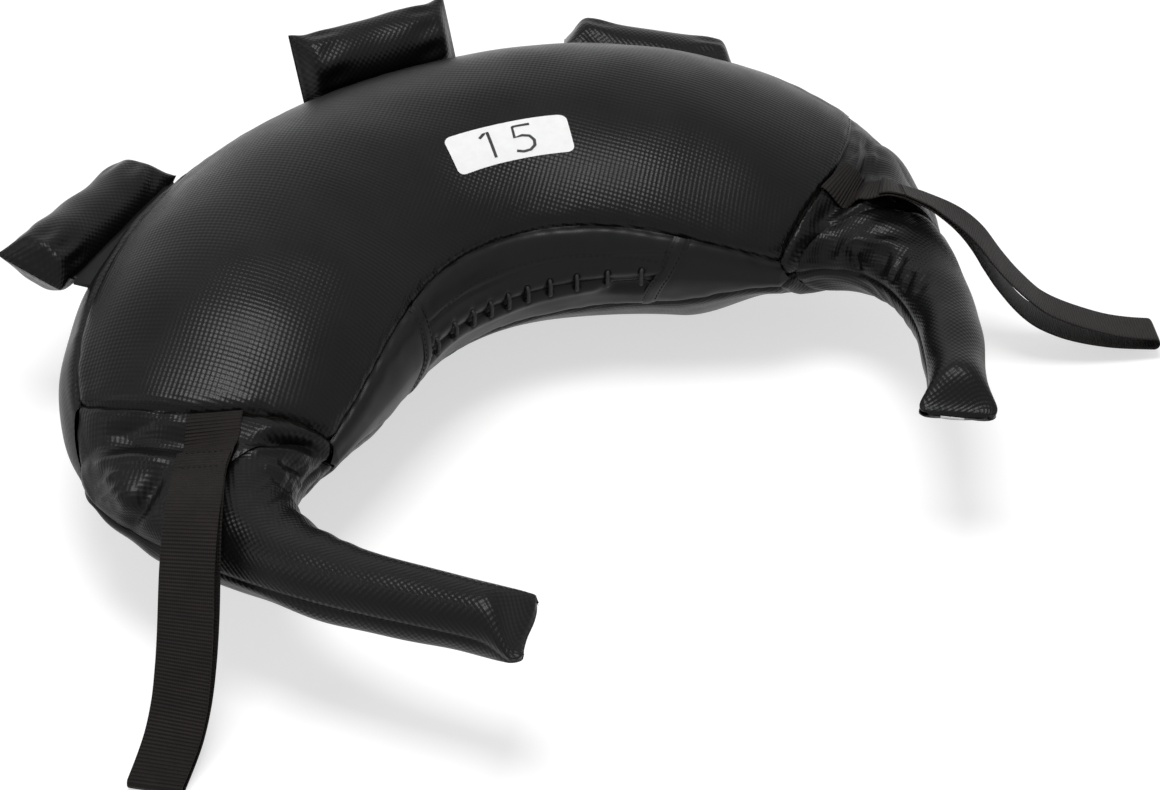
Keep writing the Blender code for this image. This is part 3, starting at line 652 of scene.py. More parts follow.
def noise(tree, vector, scale, detail=3.0, roughness=0.5):
    """Noise texture's value."""
    node = tree.nodes.new("ShaderNodeTexNoise")
    node.inputs["Scale"].default_value = scale
    node.inputs["Detail"].default_value = detail
    node.inputs["Roughness"].default_value = roughness
    tree.links.new(vector, node.inputs["Vector"])
    return node.outputs["Fac"]


def remap(tree, value, low, high, to_low, to_high):
    """Value carried from one range to another."""
    node = tree.nodes.new("ShaderNodeMapRange")
    for socket, number in zip(node.inputs, (value, low, high, to_low, to_high)):
        socket_value(tree, socket, number)
    return node.outputs[0]


def shades(tree, value, colour, spread):
    """Colour that varies in lightness with a value from 0 to 1."""
    ramp = tree.nodes.new("ShaderNodeValToRGB")
    ramp.color_ramp.elements[0].position = 0.3
    ramp.color_ramp.elements[1].position = 0.7
    ramp.color_ramp.elements[0].color = (*[c * (1 - spread) for c in colour], 1)
    ramp.color_ramp.elements[1].color = (*[c * (1 + spread) for c in colour], 1)
    tree.links.new(value, ramp.inputs[0])
    return ramp.outputs[0]


def bump(tree, height, distance, normal=None):
    """Bump of a height given in metres by distance."""
    node = tree.nodes.new("ShaderNodeBump")
    node.inputs["Distance"].default_value = distance
    tree.links.new(height, node.inputs["Height"])
    if normal:
        tree.links.new(normal, node.inputs["Normal"])
    return node.outputs[0]


def new_material(name, roughness, specular):
    """Material in its own colour with its shader, and its two coordinate outputs."""
    mat = bpy.data.materials.new(name)
    mat.use_nodes = True
    tree = mat.node_tree
    shader = tree.nodes["Principled BSDF"]
    shader.inputs["Base Color"].default_value = (*COLOURS[name], 1)
    shader.inputs["Roughness"].default_value = roughness
    shader.inputs["Specular IOR Level"].default_value = specular
    coords = tree.nodes.new("ShaderNodeTexCoord")
    return mat, tree, shader, coords.outputs["UV"], coords.outputs["Object"]


def waves(tree, flat, *rates):
    """Sine waves along the sheet coordinates, one for each rate."""
    split = tree.nodes.new("ShaderNodeSeparateXYZ")
    tree.links.new(flat, split.inputs[0])
    return [calc(tree, "SINE", calc(tree, "MULTIPLY", split.outputs[k], rate))
            for k, rate in enumerate(rates)]


def coated_fabric(name, roughness, cell, depth, specular):
    """Coated fabric: chequered emboss where it has a cell size, fine grain and uneven sheen."""
    mat, tree, shader, flat, solid = new_material(name, roughness, specular)
    grain = bump(tree, noise(tree, solid, 1400.0, 2.0), 0.00006)
    if cell:
        chequer = calc(tree, "MULTIPLY", *waves(tree, flat, math.pi / cell, math.pi / cell))
        grain = bump(tree, chequer, depth, grain)
    tree.links.new(grain, shader.inputs["Normal"])
    wear = noise(tree, solid, 26.0, 4.0, 0.6)
    tree.links.new(shades(tree, wear, COLOURS[name], 0.16), shader.inputs["Base Color"])
    sheen = remap(tree, wear, 0.3, 0.7, roughness - 0.05, roughness + 0.06)
    tree.links.new(sheen, shader.inputs["Roughness"])
    return mat


def webbing(name):
    """Ribbed webbing: ribs across it and the yarns that bind them."""
    mat, tree, shader, flat, solid = new_material(name, 0.62, 0.15)
    rib, yarn = waves(tree, flat, 2 * math.pi / RIB_PITCH, 2 * math.pi / YARN_PITCH)
    height = calc(tree, "ADD", rib, calc(tree, "MULTIPLY", yarn, 0.3))
    tree.links.new(bump(tree, height, 0.00022), shader.inputs["Normal"])
    dirt = noise(tree, solid, 60.0, 4.0, 0.6)
    # Random dirt, plus the rib wave mixed into the colour: painted shade darkens the rib valleys and painted
    # highlight lightens their crests.
    dirt_and_rib_shade = calc(tree, "ADD", calc(tree, "MULTIPLY", rib, 0.16), dirt)
    tree.links.new(shades(tree, dirt_and_rib_shade, COLOURS[name], 0.45), shader.inputs["Base Color"])
    return mat


def plain_cloth(name, roughness, scale, depth, specular=0.3, spread=0.2):
    """Cloth, foam or thread with an even fine texture."""
    mat, tree, shader, _, solid = new_material(name, roughness, specular)
    grain = noise(tree, solid, scale, 3.0, 0.6)
    tree.links.new(bump(tree, grain, depth), shader.inputs["Normal"])
    tree.links.new(shades(tree, grain, COLOURS[name], spread), shader.inputs["Base Color"])
    return mat


def camera_white(tree):
    """1 for the rays that see the background, straight or by a reflection."""
    rays = tree.nodes.new("ShaderNodeLightPath")
    seen = calc(tree, "MAXIMUM", rays.outputs["Is Camera Ray"], rays.outputs["Is Glossy Ray"])
    return calc(tree, "MAXIMUM", seen, rays.outputs["Is Transmission Ray"])


def floor_material():
    """Pale floor that reads white and keeps the object's shadow."""
    mat, tree, shader, _, _ = new_material("floor", 0.9, 0.0)
    glow = tree.nodes.new("ShaderNodeEmission")
    tree.links.new(calc(tree, "MULTIPLY", camera_white(tree), FLOOR_GLOW), glow.inputs["Strength"])
    both = tree.nodes.new("ShaderNodeAddShader")
    tree.links.new(shader.outputs[0], both.inputs[0])
    tree.links.new(glow.outputs[0], both.inputs[1])
    tree.links.new(both.outputs[0], tree.nodes["Material Output"].inputs["Surface"])
    return mat


MATERIAL = {
    "embossed": coated_fabric("embossed", 0.32, EMBOSS_CELL, 0.00010, 0.145),
    "smooth": coated_fabric("smooth", 0.36, 0.0, 0.0, 0.15),
    "webbing": webbing("webbing"),
}
# Roughness, grain scale and depth, then highlight and spread where they aren't the usual ones.
CLOTHS = {
    "cord": (0.6, 2500.0, 0.0002),
    "thread": (0.6, 4000.0, 0.0001, 0.15),
    "print": (0.6, 160.0, 0.00001, 0.3, 0.03),
    "ink": (0.5, 900.0, 0.00004),
    "canvas": (0.9, 1200.0, 0.0003),
    "foam": (0.95, 900.0, 0.0004),
}
MATERIAL.update({name: plain_cloth(name, *look) for name, look in CLOTHS.items()})


# ---- skins of the bow

def face_panel(node, sign, dents, seeds, rows, columns):
    """Large face of the crescent, from the outer to the inner seam, with long soft dents."""
    share = sides_finer(columns)[None, :]
    reach = seam_place("right", -end_slant(share))
    along = mix(-reach, reach, sides_finer(rows, 0.25)[:, None])
    angle = sign * mix(outer_seam(along), math.pi - inner_seam(along), share)

    def shape(place, edges):
        total = sum(height * ripple(place, size, seed) for height, size, seed in dents)
        total = total * ease(np.minimum.reduce(edges) / 0.02)
        for run, seed in zip(edges, seeds):
            total = total + seam_dip(run) + pucker(run, place, seed)
        return total

    return panel(node, along, angle, shape, in_plan=True)


def gusset_reach(side, share, back):
    """Place along the bag of a gusset's end: its corners lie back and its middle runs to a point."""
    return seam_place(side, mix(GUSSET_POINT, -back, np.abs(2 * share - 1)))


def strip_shape(place, edges, seed=31, lump=0.0006):
    """Gusset strip: a little slack, with its seams turned in."""
    total = lump * ripple(place, 0.05, seed) * ease(np.minimum(edges[2], edges[3]) / 0.015)
    for run in edges[2:]:
        total = total + seam_dip(run) + pucker(run, place, seed + 1, 0.0005)
    return total


def outer_gusset():
    """Strip round the outside of the bow, with a pointed end on each side."""
    share = sides_finer(44)[None, :]
    ends = [gusset_reach(side, share, END_SLANT) for side in SIGN]
    along = mix(*ends, np.linspace(0, 1, 420)[:, None])
    panel("outer_gusset", along, mix(-outer_seam(along), outer_seam(along), share), strip_shape)


def inner_angle(along, share):
    """Angle on the inner gusset at a share of its height, from the top seam down."""
    return math.pi + mix(-inner_seam(along), inner_seam(along), share)


def placket_edge(side, share):
    """Place along the bag of one end of the laced placket at a share of the gusset's height."""
    return mix(*PLACKET[side], share) / END_ANGLE


def inner_gusset(side):
    """Smooth strip inside the bow, from the placket to a pointed end."""
    left = side == "left"
    share = sides_finer(48)[None, :]
    ends = gusset_reach(side, share, 0.0), placket_edge(side, share)
    along = mix(*(ends if left else ends[::-1]), np.linspace(0, 1, 130)[:, None])

    def shape(place, edges):
        total = strip_shape(place, edges, 41 if left else 45, 0.0005)
        return total + seam_dip(edges[int(left)], PLACKET_TUCK)

    panel(f"inner_gusset_{side}", along, inner_angle(along, share), shape, "smooth")


def stitch_along(index):
    """Place along the bag of one stitch of the lacing."""
    return mix(STITCH_START, STITCH_END, index / (STITCHES - 1)) / END_ANGLE


def lace_point(along, rise, lift):
    """Point beside the laced joint: rise above it, lift out from the flap."""
    cut = section(along)
    height = np.where(rise > 0, cut.crown, cut.depth)
    return skin(along, math.pi - np.arcsin(rise / height), SKIN / 2 - lift)


def flap(level, low, high):
    """Flap of the laced placket: drawn in at the joint and round every lace hole."""
    upper = level == "upper"
    share = mix(low, high, sides_finer(44, 0.5))[None, :]
    ends = [placket_edge(side, share) for side in SIGN]
    along = mix(*ends, np.linspace(0, 1, 300)[:, None])
    rise = STITCH_HALF if upper else -STITCH_HALF
    hollow = [lace_point(stitch_along(at), HOLLOW_RISE, 0.0) for at in HOLLOW_STITCHES]

    def shape(place, edges):
        joint, seam = (edges[3], edges[2]) if upper else (edges[2], edges[3])
        total = 0.0005 * ripple(place, 0.04, 51) * ease(np.minimum(joint, seam) / 0.01)
        total = total + seam_dip(seam) + pucker(seam, place, 52)
        total = total - 0.0022 * np.exp(-(joint / 0.0028) ** 1.3) + 0.0010 * hump(joint, 0.007, 0.004)
        for index in range(STITCHES):
            for part, width, depth in LACE_DENTS:
                dent = lace_point(stitch_along(index), rise * part, 0.0)
                gap = np.linalg.norm(place - dent, axis=-1)
                total = total - depth * hump(gap, 0, width)
        if upper:
            total = total - 0.0007 * hump(joint, HEM, 0.0009)
        else:
            total = total + creases(place, [(hollow, HOLLOW_WIDTH, HOLLOW_HEIGHT)])
        return total + seam_dip(edges[0], PLACKET_TUCK) + seam_dip(edges[1], PLACKET_TUCK)

    return panel(f"placket_{level}_flap", along, inner_angle(along, share), shape, "smooth")


def binding(side):
    """Padded binding band over the joint between the placket and the gusset."""
    half = BINDING_WIDTH / 2 / (BOW_DEPTH - MIDDLE_HALF_WIDTH) / END_ANGLE
    share = np.linspace(0, 1, 70)[None, :]
    along = placket_edge(side, share) + half * np.linspace(-1, 1, 15)[:, None]

    def shape(place, edges):
        across = edges[0] / (edges[0] + edges[1]) * 2 - 1
        total = 0.0011 * (1 - np.abs(across) ** 3) + 0.0002
        total = total - 0.0005 * (hump(across, -0.62, 0.13) + hump(across, 0.62, 0.13))
        return total + seam_dip(edges[2], 0.0016) + seam_dip(edges[3], 0.0016)

    return panel(f"placket_binding_{side}", along, inner_angle(along, share), shape, "smooth")


def lacing():
    """One cord whip-stitched across the joint: down outside, slanting up to the next hole inside."""
    lift = SKIN / 2 + CORD_RADIUS
    places = [lace_point(stitch_along(min(index + step, STITCHES - 1)), rise * STITCH_HALF, out * lift)
              for index in range(STITCHES) for rise, out, step in LACE_TURN][:-3]
    cord = bpy.data.curves.new("lacing_cord", "CURVE")
    cord.dimensions = "3D"
    cord.bevel_depth = CORD_RADIUS * 0.9
    cord.bevel_resolution = 3
    cord.use_fill_caps = True
    line = cord.splines.new("BEZIER")
    line.bezier_points.add(len(places) - 1)
    for point, place in zip(line.bezier_points, places):
        point.co = place
        point.handle_left_type = point.handle_right_type = "AUTO"
    cord.materials.append(MATERIAL["cord"])
    dress(link("lacing_cord", cord), "bag", ["closure_lacing"])


# ---- ends and handles

def neck_seam(angle):
    """Distance past the end seam of the ring where the handle's cover starts."""
    return NECK + NECK_SLANT * np.cos(angle)


def neck_dip(run):
    """Fabric turned in at the ring where a handle's cover starts."""
    return -0.0012 * np.exp(-(run / 0.003) ** 1.5)


def gathers(angle, place, seed):
    """Gathered fabric round a neck: full rolls with sharp valleys between them, from -1 to 1."""
    phase = GATHERS * angle + 1.3 * ripple(place, 0.09, seed)
    return 2 * np.abs(np.sin(phase / 2)) ** 0.8 - 1.1


def end_panel(level, side):
    """Panel between the end seam, the gussets' points and the handle, gathered at the neck."""
    sign, columns, rows = (1, 150, 110) if level == "upper" else (-1, 90, 60)
    share = sides_finer(columns, 0.3)[None, :]
    near, near_angle = end_edge(side, share)
    far_angle = np.interp(share, (0, POINT_SHARE, 1 - POINT_SHARE, 1),
                          (0, OUTER_SEAM_ANGLES[1], math.pi - INNER_SEAM_ANGLES[1], math.pi))
    down = sides_finer(rows, 0.3)[:, None]
    angle = mix(near_angle, far_angle, down)
    along = seam_place(side, mix(near, neck_seam(angle), down))
    angle = sign * angle
    seed = 61 if side == "left" else 71

    def shape(place, edges):
        seam, neck, outer_side, inner_side = edges
        total = 0.0012 * ripple(place, 0.035, seed)
        rolls = gathers(angle, place, seed + 1)
        total = total + 0.0010 * rolls * ease(seam / 0.03) * (0.5 + 0.5 * ripple(place, 0.05, seed + 2))
        total = total * ease(np.minimum(outer_side, inner_side) / 0.012) * ease(seam / 0.006)
        total = total + end_folds(side, place) * ease(seam / 0.0045)
        total = total + seam_dip(seam) + pucker(seam, place, seed + 3, 0.0005)
        total = total + seam_dip(outer_side) + seam_dip(inner_side)
        return total + neck_dip(neck)

    panel(f"end_panel_{level}_{side}", along, angle, shape, in_plan=True)


def handle_cover(level, side):
    """Half of a handle's tube, sewn to its twin down both sides and flat across the tip."""
    rough = math.pi * sides_finer(84, 0.5)[None, :]
    stop = HANDLE[side]["length"] + HANDLE[side]["slant"] * np.cos(rough)
    along = along_at(side, mix(neck_seam(rough), stop, sides_finer(190, 0.3)[:, None]))
    angle = (1 if level == "upper" else -1) * np.broadcast_to(rough, along.shape)
    seed = 81 if side == "left" else 91
    crown = section(along).crown

    def shape(place, edges):
        neck, tip, outer_side, inner_side = edges
        flat = ease((0.05 - tip) / 0.05)
        total = 0.0010 * ripple(place, 0.045, seed)
        total = total + 0.0008 * gathers(angle, place, seed - 19) * np.exp(-(neck / 0.014) ** 1.3)
        bend = ease((0.2 - np.cos(angle)) / 0.8) * hump(neck, 0.05, 0.045)
        wave = np.sin(neck * 2 * math.pi / 0.021 + 3 * ripple(place, 0.05, seed + 1))
        total = total + 0.0007 * bend * wave
        total = total * (1 - 0.75 * flat) * ease(np.minimum(outer_side, inner_side) / 0.010)
        total = total + end_folds(side, place) + neck_dip(neck)
        depth = mix(0.0016, 0.0004, flat)
        total = total + seam_dip(outer_side, depth, 0.0022) + seam_dip(inner_side, depth, 0.0022)
        return total - (crown - CLOSED_HALF) * hump(tip, 0, CLOSING)

    panel(f"handle_cover_{level}_{side}", along, angle, shape)


def tip_lining():
    """Light edge of the lining that shows at the right handle's tip seam."""
    length, slant = HANDLE["right"]["length"], HANDLE["right"]["slant"]
    outer = skin(along_at("right", length + slant), 0.0)
    inner = skin(along_at("right", length - slant), math.pi)
    ahead = unit(np.cross(outer - inner, UP))
    ahead = ahead * np.sign(ahead @ (outer - skin(along_at("right", length * 0.8), 0.0)))
    centre = mix(inner, outer, np.linspace(*LINING_SHARE, 12)[:, None])
    centre = centre + ahead * LINING_OUT - UP * LINING_DROP
    across, normal = (np.repeat(way[None], 12, axis=0) for way in (UP, ahead))
    obj, _ = ribbon("tip_lining_right_cloth", centre, across, normal, LINING_WIDTH, LINING_THICKNESS,
                    "print")
    dress(obj, "bag")


# ---- stuffing

def pod(node, suffix, place_at, rings, sides, finish, body):
    """Closed stuffed body: a ball whose rings are laid by place_at(u, angle, share)."""
    u = -np.cos(np.linspace(0, math.pi, rings))[:, None]
    angle = (np.arange(sides) / sides * 2 * math.pi - math.pi)[None, :]
    u, angle = np.broadcast_arrays(u, angle)
    share = (1 - np.abs(u) ** 8) ** (1 / 8)
    place = place_at(u, angle, np.maximum(share, 0.02))
    out = facing(place, place.mean(axis=1, keepdims=True))
    obj = grid_object(f"{node}_{suffix}", place, np.stack([u, angle], -1), out, finish, wrap=True)
    dress(obj, body, [node])


def filler_bag():
    """Inner bag with its sand and textile filling, dented by the deep folds."""

    def place_at(u, angle, share):
        along = u * np.where(u < 0, -along_at("left", FILLER_REACH), along_at("right", FILLER_REACH))
        place = skin(along, angle, FILLER_INSET, share)
        out = unit(place - spine(along))
        for side, sign in SIGN.items():
            deep = np.minimum(end_folds(side, place), 0) * (u * sign > 0.8)
            place = place + out * deep[..., None]
        return place

    pod("filler_bag", "cloth", place_at, 90, 60, "canvas", "bag")


def handle_core(side):
    """Stuffed core of a handle."""

    def place_at(u, angle, share):
        stop = HANDLE[side]["length"] - CORE_TIP_GAP
        cut = section(along_at(side, mix(CORE_START, stop, (u + 1) / 2)))
        across = (cut.half - CORE_INSET) * share * signed_power(np.cos(angle), cut.power)
        crown = np.maximum(cut.crown - CORE_INSET, CORE_THINNEST)
        rise = crown * share * signed_power(np.sin(angle), cut.power)
        return np.stack([cut.x + cut.out_x * across, cut.y + cut.out_y * across, cut.centre + rise], -1)

    pod(f"handle_core_{side}", "stuffing", place_at, 60, 24, "foam", "bag")


# ---- webbing straps

def ribbon(name, centre, across, normal, width=STRAP_WIDTH, thickness=PLY, finish="webbing"):
    """Closed band along a line of centres, with its own across and normal direction at each."""
    turn = np.linspace(0, 2 * math.pi, 40, endpoint=False)
    wide = signed_power(np.cos(turn), RIBBON_POWER) * width / 2
    high = signed_power(np.sin(turn), RIBBON_POWER) * thickness / 2
    place = centre[:, None] + across[:, None] * wide[:, None] + normal[:, None] * high[:, None]
    run = travel(centre)
    sheet = np.stack(np.broadcast_arrays(run[:, None], wide[None, :]), -1)
    obj = grid_object(name, place, sheet, place - centre[:, None], finish, wrap=True)
    cap_ends(obj, len(turn))
    return obj, round(float(run[-1]), 3)


def cap_ends(obj, sides):
    """Close both ends of a tube mesh."""
    shell = bmesh.new()
    shell.from_mesh(obj.data)
    bmesh.ops.holes_fill(shell, edges=[e for e in shell.edges if e.is_boundary], sides=sides)
    bmesh.ops.recalc_face_normals(shell, faces=shell.faces)
    shell.to_mesh(obj.data)
    shell.free()


def strap_frame(side):
    """Fold point in plan, and direction in plan, of a strap."""
    sign, shape = SIGN[side], STRAP[side]
    x, y, out_x, out_y = bow(END_ANGLE)
    fold_x = x + out_y * shape["ahead"] + out_x * shape["aside"]
    fold_y = y - out_x * shape["ahead"] + out_y * shape["aside"]
    way = np.array([sign * math.cos(shape["heading"]), math.sin(shape["heading"]), 0.0])
    return np.array([sign * fold_x, fold_y, 0.0]), way


def plan_to_skin(side, spot):
    """Distance past the end seam and offset from the handle's path of a point in plan."""
    steps, path_x, path_y, headings = PATHS[side]
    dx, dy = SIGN[side] * spot[0] - path_x, spot[1] - path_y
    near = int(np.argmin(np.hypot(dx, dy)))
    return steps[near], dx[near] * math.cos(headings[near]) + dy[near] * math.sin(headings[near])


def skin_top(side, distance, offset):
    """Point on the upper surface past the end seam, at an offset from the handle's path."""
    along = along_at(side, distance)
    cut = section(along)
    share = np.clip(offset / cut.half, -1, 1)
    return skin(along, np.arccos(signed_power(share, 1 / cut.power)))


def strap_across(side, share):
    """Direction from a strap's inner to its outer edge, and the direction out of its upper face."""
    _, way = strap_frame(side)
    level = np.array([-way[1], way[0], 0.0]) * SIGN[side]
    rolls = STRAP[side]["rolls"]
    roll = np.interp(share, np.linspace(0, 1, len(rolls)), rolls)
    return level * np.cos(roll) - UP * np.sin(roll), UP * np.cos(roll) + level * np.sin(roll)


def fold_centre(side):
    """Middle of the fold line on the webbing's underside, clear of the shoulder below it."""
    fold, _ = strap_frame(side)
    across, _ = strap_across(side, 0.0)
    needed = [skin_top(side, *plan_to_skin(side, fold + across * place))[2] - across[2] * place
              for place in np.linspace(-STRAP_WIDTH / 2, STRAP_WIDTH / 2, 9)]
    return np.array([fold[0], fold[1], max(needed) + 4 * FIT])


def strap_profile(side, count):
    """Underside of the free strap from the fold to the tip: run and height of evenly spread points."""
    shares = np.array(STRAP[side]["fall_shares"])
    knots, width = np.linspace(0, 1, len(shares), retstep=True)
    slopes = np.gradient(shares, knots, axis=0) * width
    share = np.linspace(0, 1, count)
    index = np.minimum((share * (len(shares) - 1)).astype(int), len(shares) - 2)
    x = ((share - knots[index]) / width)[:, None]
    first = (1 + 2 * x) * (1 - x) ** 2 * shares[index] + x * (1 - x) ** 2 * slopes[index]
    last = x * x * (3 - 2 * x) * shares[index + 1] + x * x * (x - 1) * slopes[index + 1]
    out, up = (first + last).T
    height = fold_centre(side)[2] - 2 * FIT
    return np.stack([out * STRAP[side]["run"], np.maximum(up, 0) * height + 2 * FIT], -1)


def strap_gap(side, share):
    """Opening between the two plies at a share of the run."""
    rise = ease((share - GAP_START_SHARE) / (0.5 - GAP_START_SHARE))
    fall = ease((share - 0.6) / 0.4)
    return FIT + (STRAP[side]["gap"] - FIT) * rise * mix(1, GAP_END_SHARE, fall)


def strap_loop(side):
    """Free loop: one length of webbing that runs out, turns over at the tip and comes back on top."""
    fold, way = strap_frame(side)
    line = strap_profile(side, 150)
    tangent = unit(np.gradient(line, axis=0))
    share = line[:, 0] / STRAP[side]["run"]
    radius = (PLY + strap_gap(side, 1.0)) / 2
    stations = [(k, PLY / 2, 0.0) for k in range(len(line))]
    for turn in np.linspace(0, math.pi, 14)[1:-1]:
        stations.append((len(line) - 1, PLY / 2 + radius * (1 - math.cos(turn)), radius * math.sin(turn)))
    stations += [(k, 1.5 * PLY + strap_gap(side, share[k]), 0.0) for k in reversed(range(len(line)))]
    centre, across = [], []
    for index, lift, nose in stations:
        aside, up = strap_across(side, share[index])
        forward = way * tangent[index, 0] + UP * tangent[index, 1]
        normal = up * tangent[index, 0] - way * tangent[index, 1]
        base = fold + way * line[index, 0] + UP * line[index, 1]
        base = base - aside * STRAP[side]["sway"] * 4 * share[index] * (1 - share[index])
        centre.append(base + forward * nose + normal * lift)
        across.append(aside)
    centre, across = np.array(centre), np.array(across)
    normal = unit(np.cross(unit(np.gradient(centre, axis=0)), across))
    obj, total = ribbon(f"strap_loop_{side}_webbing", centre, across, normal)
    start = fold_centre(side)
    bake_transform(obj)
    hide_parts(f"strap_loop_{side}")


def strap_root(side):
    """Webbing sewn down on the shoulder, from the end seam to the fold, with a ply over its end."""
    centre = fold_centre(side)
    across, _ = strap_across(side, 0.0)
    starts = [skin_top(side, 0.0018, STRAP_WIDTH * (v - ROOT_INSET_SHARE)) for v in (0, 1)]
    spots, aside = [], []
    for u in np.linspace(-0.04, 1, 50):
        edge = []
        for v in (0, 1):
            end = centre + across * STRAP_WIDTH * (v - 0.5)
            spot = mix(starts[v][:2], end[:2], u)
            lift = end[2] - skin_top(side, *plan_to_skin(side, end))[2]
            floor = skin_top(side, *plan_to_skin(side, spot))[2]
            sag = float(end_folds(side, np.array([[*spot, floor]]))[0]) * ease((1 - u) / 0.3)
            level = mix(floor + mix(2 * FIT, lift, ease((u - 0.2) / 0.8)), end[2], ease((u - 0.6) / 0.4))
            edge.append(np.array([*spot, max(level, floor + 2 * FIT) + sag]))
        spots.append((edge[0] + edge[1]) / 2)
        aside.append(unit(edge[1] - edge[0]))
    spots, aside = np.array(spots), np.array(aside)
    normal = unit(np.cross(unit(np.gradient(spots, axis=0)), aside))
    normal = normal * np.sign(normal[:, 2:3])
    obj, total = ribbon(f"strap_root_{side}_webbing", spots + normal * PLY / 2, aside, normal)
    dress(obj, "bag", [f"strap_root_{side}"])
    first = int(len(spots) * PLY_START_SHARE)
    spots, aside, normal = spots[first:], aside[first:], normal[first:]
    ply, total = ribbon(f"strap_ply_{side}_webbing", spots + normal * (1.5 * PLY + FIT), aside, normal)
    dress(ply, "bag")
    top_ply = spots + normal * (2 * PLY + FIT)
    corners = [top_ply[at] + v * aside[at] * STRAP_WIDTH * BOX_HALF_SHARE for at in (1, -2) for v in (-1, 1)]
    for index, (start, stop) in enumerate(((0, 1), (2, 3), (0, 3), (0, 2), (1, 3))):
        line = mix(corners[start], corners[stop], np.linspace(0, 1, 20)[:, None])
        stitches(f"box_stitches_{side}_{index}", line, np.repeat(normal[:1], 20, axis=0), ply,
                 *BOX_STITCH)


# ---- roll grips

def grip_frame(name):
    """Hinge point of a grip, with the directions along its axis, out from it and up."""
    shape = GRIP[name]
    along = shape["angle"] / END_ANGLE
    point = skin(along, shape["seat"])
    _, _, out_x, out_y = bow(shape["angle"])
    outward = np.array([out_x, out_y, 0.0])
    level = np.array([out_y, -out_x, 0.0])
    tangent = level * math.cos(shape["dip"]) - UP * math.sin(shape["dip"])
    normal = -unit(np.cross(level, skin(along, shape["seat"] + 0.003) - point))
    return point + normal * shape["standoff"], tangent, outward, -np.cross(outward, tangent)


def grip_section(name, y):
    """Sections of a grip at places along it: flatness, half width, crown, two directions and line."""
    origin, tangent, outward, upward = grip_frame(name)
    shape = GRIP[name]
    flat = ease((np.abs(y) - shape["length"] / 2 + GRIP_END_LENGTH) / GRIP_END_LENGTH) ** TIP_FULLNESS
    half = mix(GRIP_HALF_WIDTH, GRIP_END_HALF_WIDTH, flat)
    crown = mix(GRIP_CROWN, GRIP_END_CROWN, flat)
    tilt = (shape["tilt"] + shape["twist"] * y / shape["length"])[..., None]
    reach = outward * np.cos(tilt) + upward * np.sin(tilt)
    rise = upward * np.cos(tilt) - outward * np.sin(tilt)
    return flat, half, crown, reach, rise, origin + tangent * y[..., None]


def grip_cover(name):
    """Cover of a roll grip: round, sewn flat at both ends, with creases running in from the ends."""
    length = GRIP[name]["length"]
    y = mix(-length / 2, length / 2, sides_finer(150, 0.5))[:, None]
    angle = np.linspace(0, 2 * math.pi, 120, endpoint=False)[None, :]
    flat, half, crown, reach, rise, line = grip_section(name, y)
    power = mix(1, GRIP_END_POWER, flat)
    end = length / 2 - np.abs(y)
    across = half * signed_power(np.cos(angle), power)
    up = crown * (1 - 0.9 * hump(end, 0, CLOSING)) * signed_power(np.sin(angle), power)
    middle = line + reach * (GRIP_REACH + half)[..., None]
    place = middle + reach * across[..., None] + rise * up[..., None]
    out = facing(place, middle)
    folds = np.sin(angle * 9 + 1.5 * ripple(place, 0.04, 101)) * hump(end, 0.022, 0.010)
    total = 0.0008 * folds + 0.0007 * ripple(place, 0.035, 102) * ease(end / 0.02)
    girth = (GRIP_HALF_WIDTH + GRIP_CROWN) / 2 * angle
    sheet = np.stack(np.broadcast_arrays(y, girth), -1)
    obj = grid_object(f"grip_cover_{name}_skin", place + out * total[..., None], sheet, out, "embossed",
                      wrap=True)
    dress(obj, f"grip_{name}", [f"grip_cover_{name}"])


def grip_web(name):
    """Strip of the tab's fabric that crosses a grip's hinge and is sewn to its cover."""
    y = np.linspace(-0.5, 0.5, 40) * GRIP[name]["length"] * WEB_LENGTH_SHARE
    _, _, _, reach, rise, line = grip_section(name, y)
    near, far = -WEB_OVERLAP, GRIP_REACH + WEB_OVERLAP
    obj, _ = ribbon(f"grip_web_{name}_skin", line + reach * (near + far) / 2, reach, -rise, far - near,
                    WEB_THICKNESS, "smooth")
    origin, middle = grip_frame(name)[0], reach[len(y) // 2]
    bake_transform(obj)


def grip_core(name):
    """Foam roll inside a grip."""

    def place_at(u, angle, share):
        y = u * (GRIP[name]["length"] - GRIP_END_LENGTH) / 2
        _, half, crown, reach, rise, line = grip_section(name, y)
        across = (half - GRIP_CORE_INSET) * share * np.cos(angle)
        up = np.maximum(crown - GRIP_CORE_INSET, CORE_THINNEST) * share * np.sin(angle)
        middle = line + reach * (GRIP_REACH + half)[..., None]
        return middle + reach * across[..., None] + rise * up[..., None]

    pod(f"grip_core_{name}", "foam", place_at, 40, 24, "foam", f"grip_{name}")


# ---- plate and marks

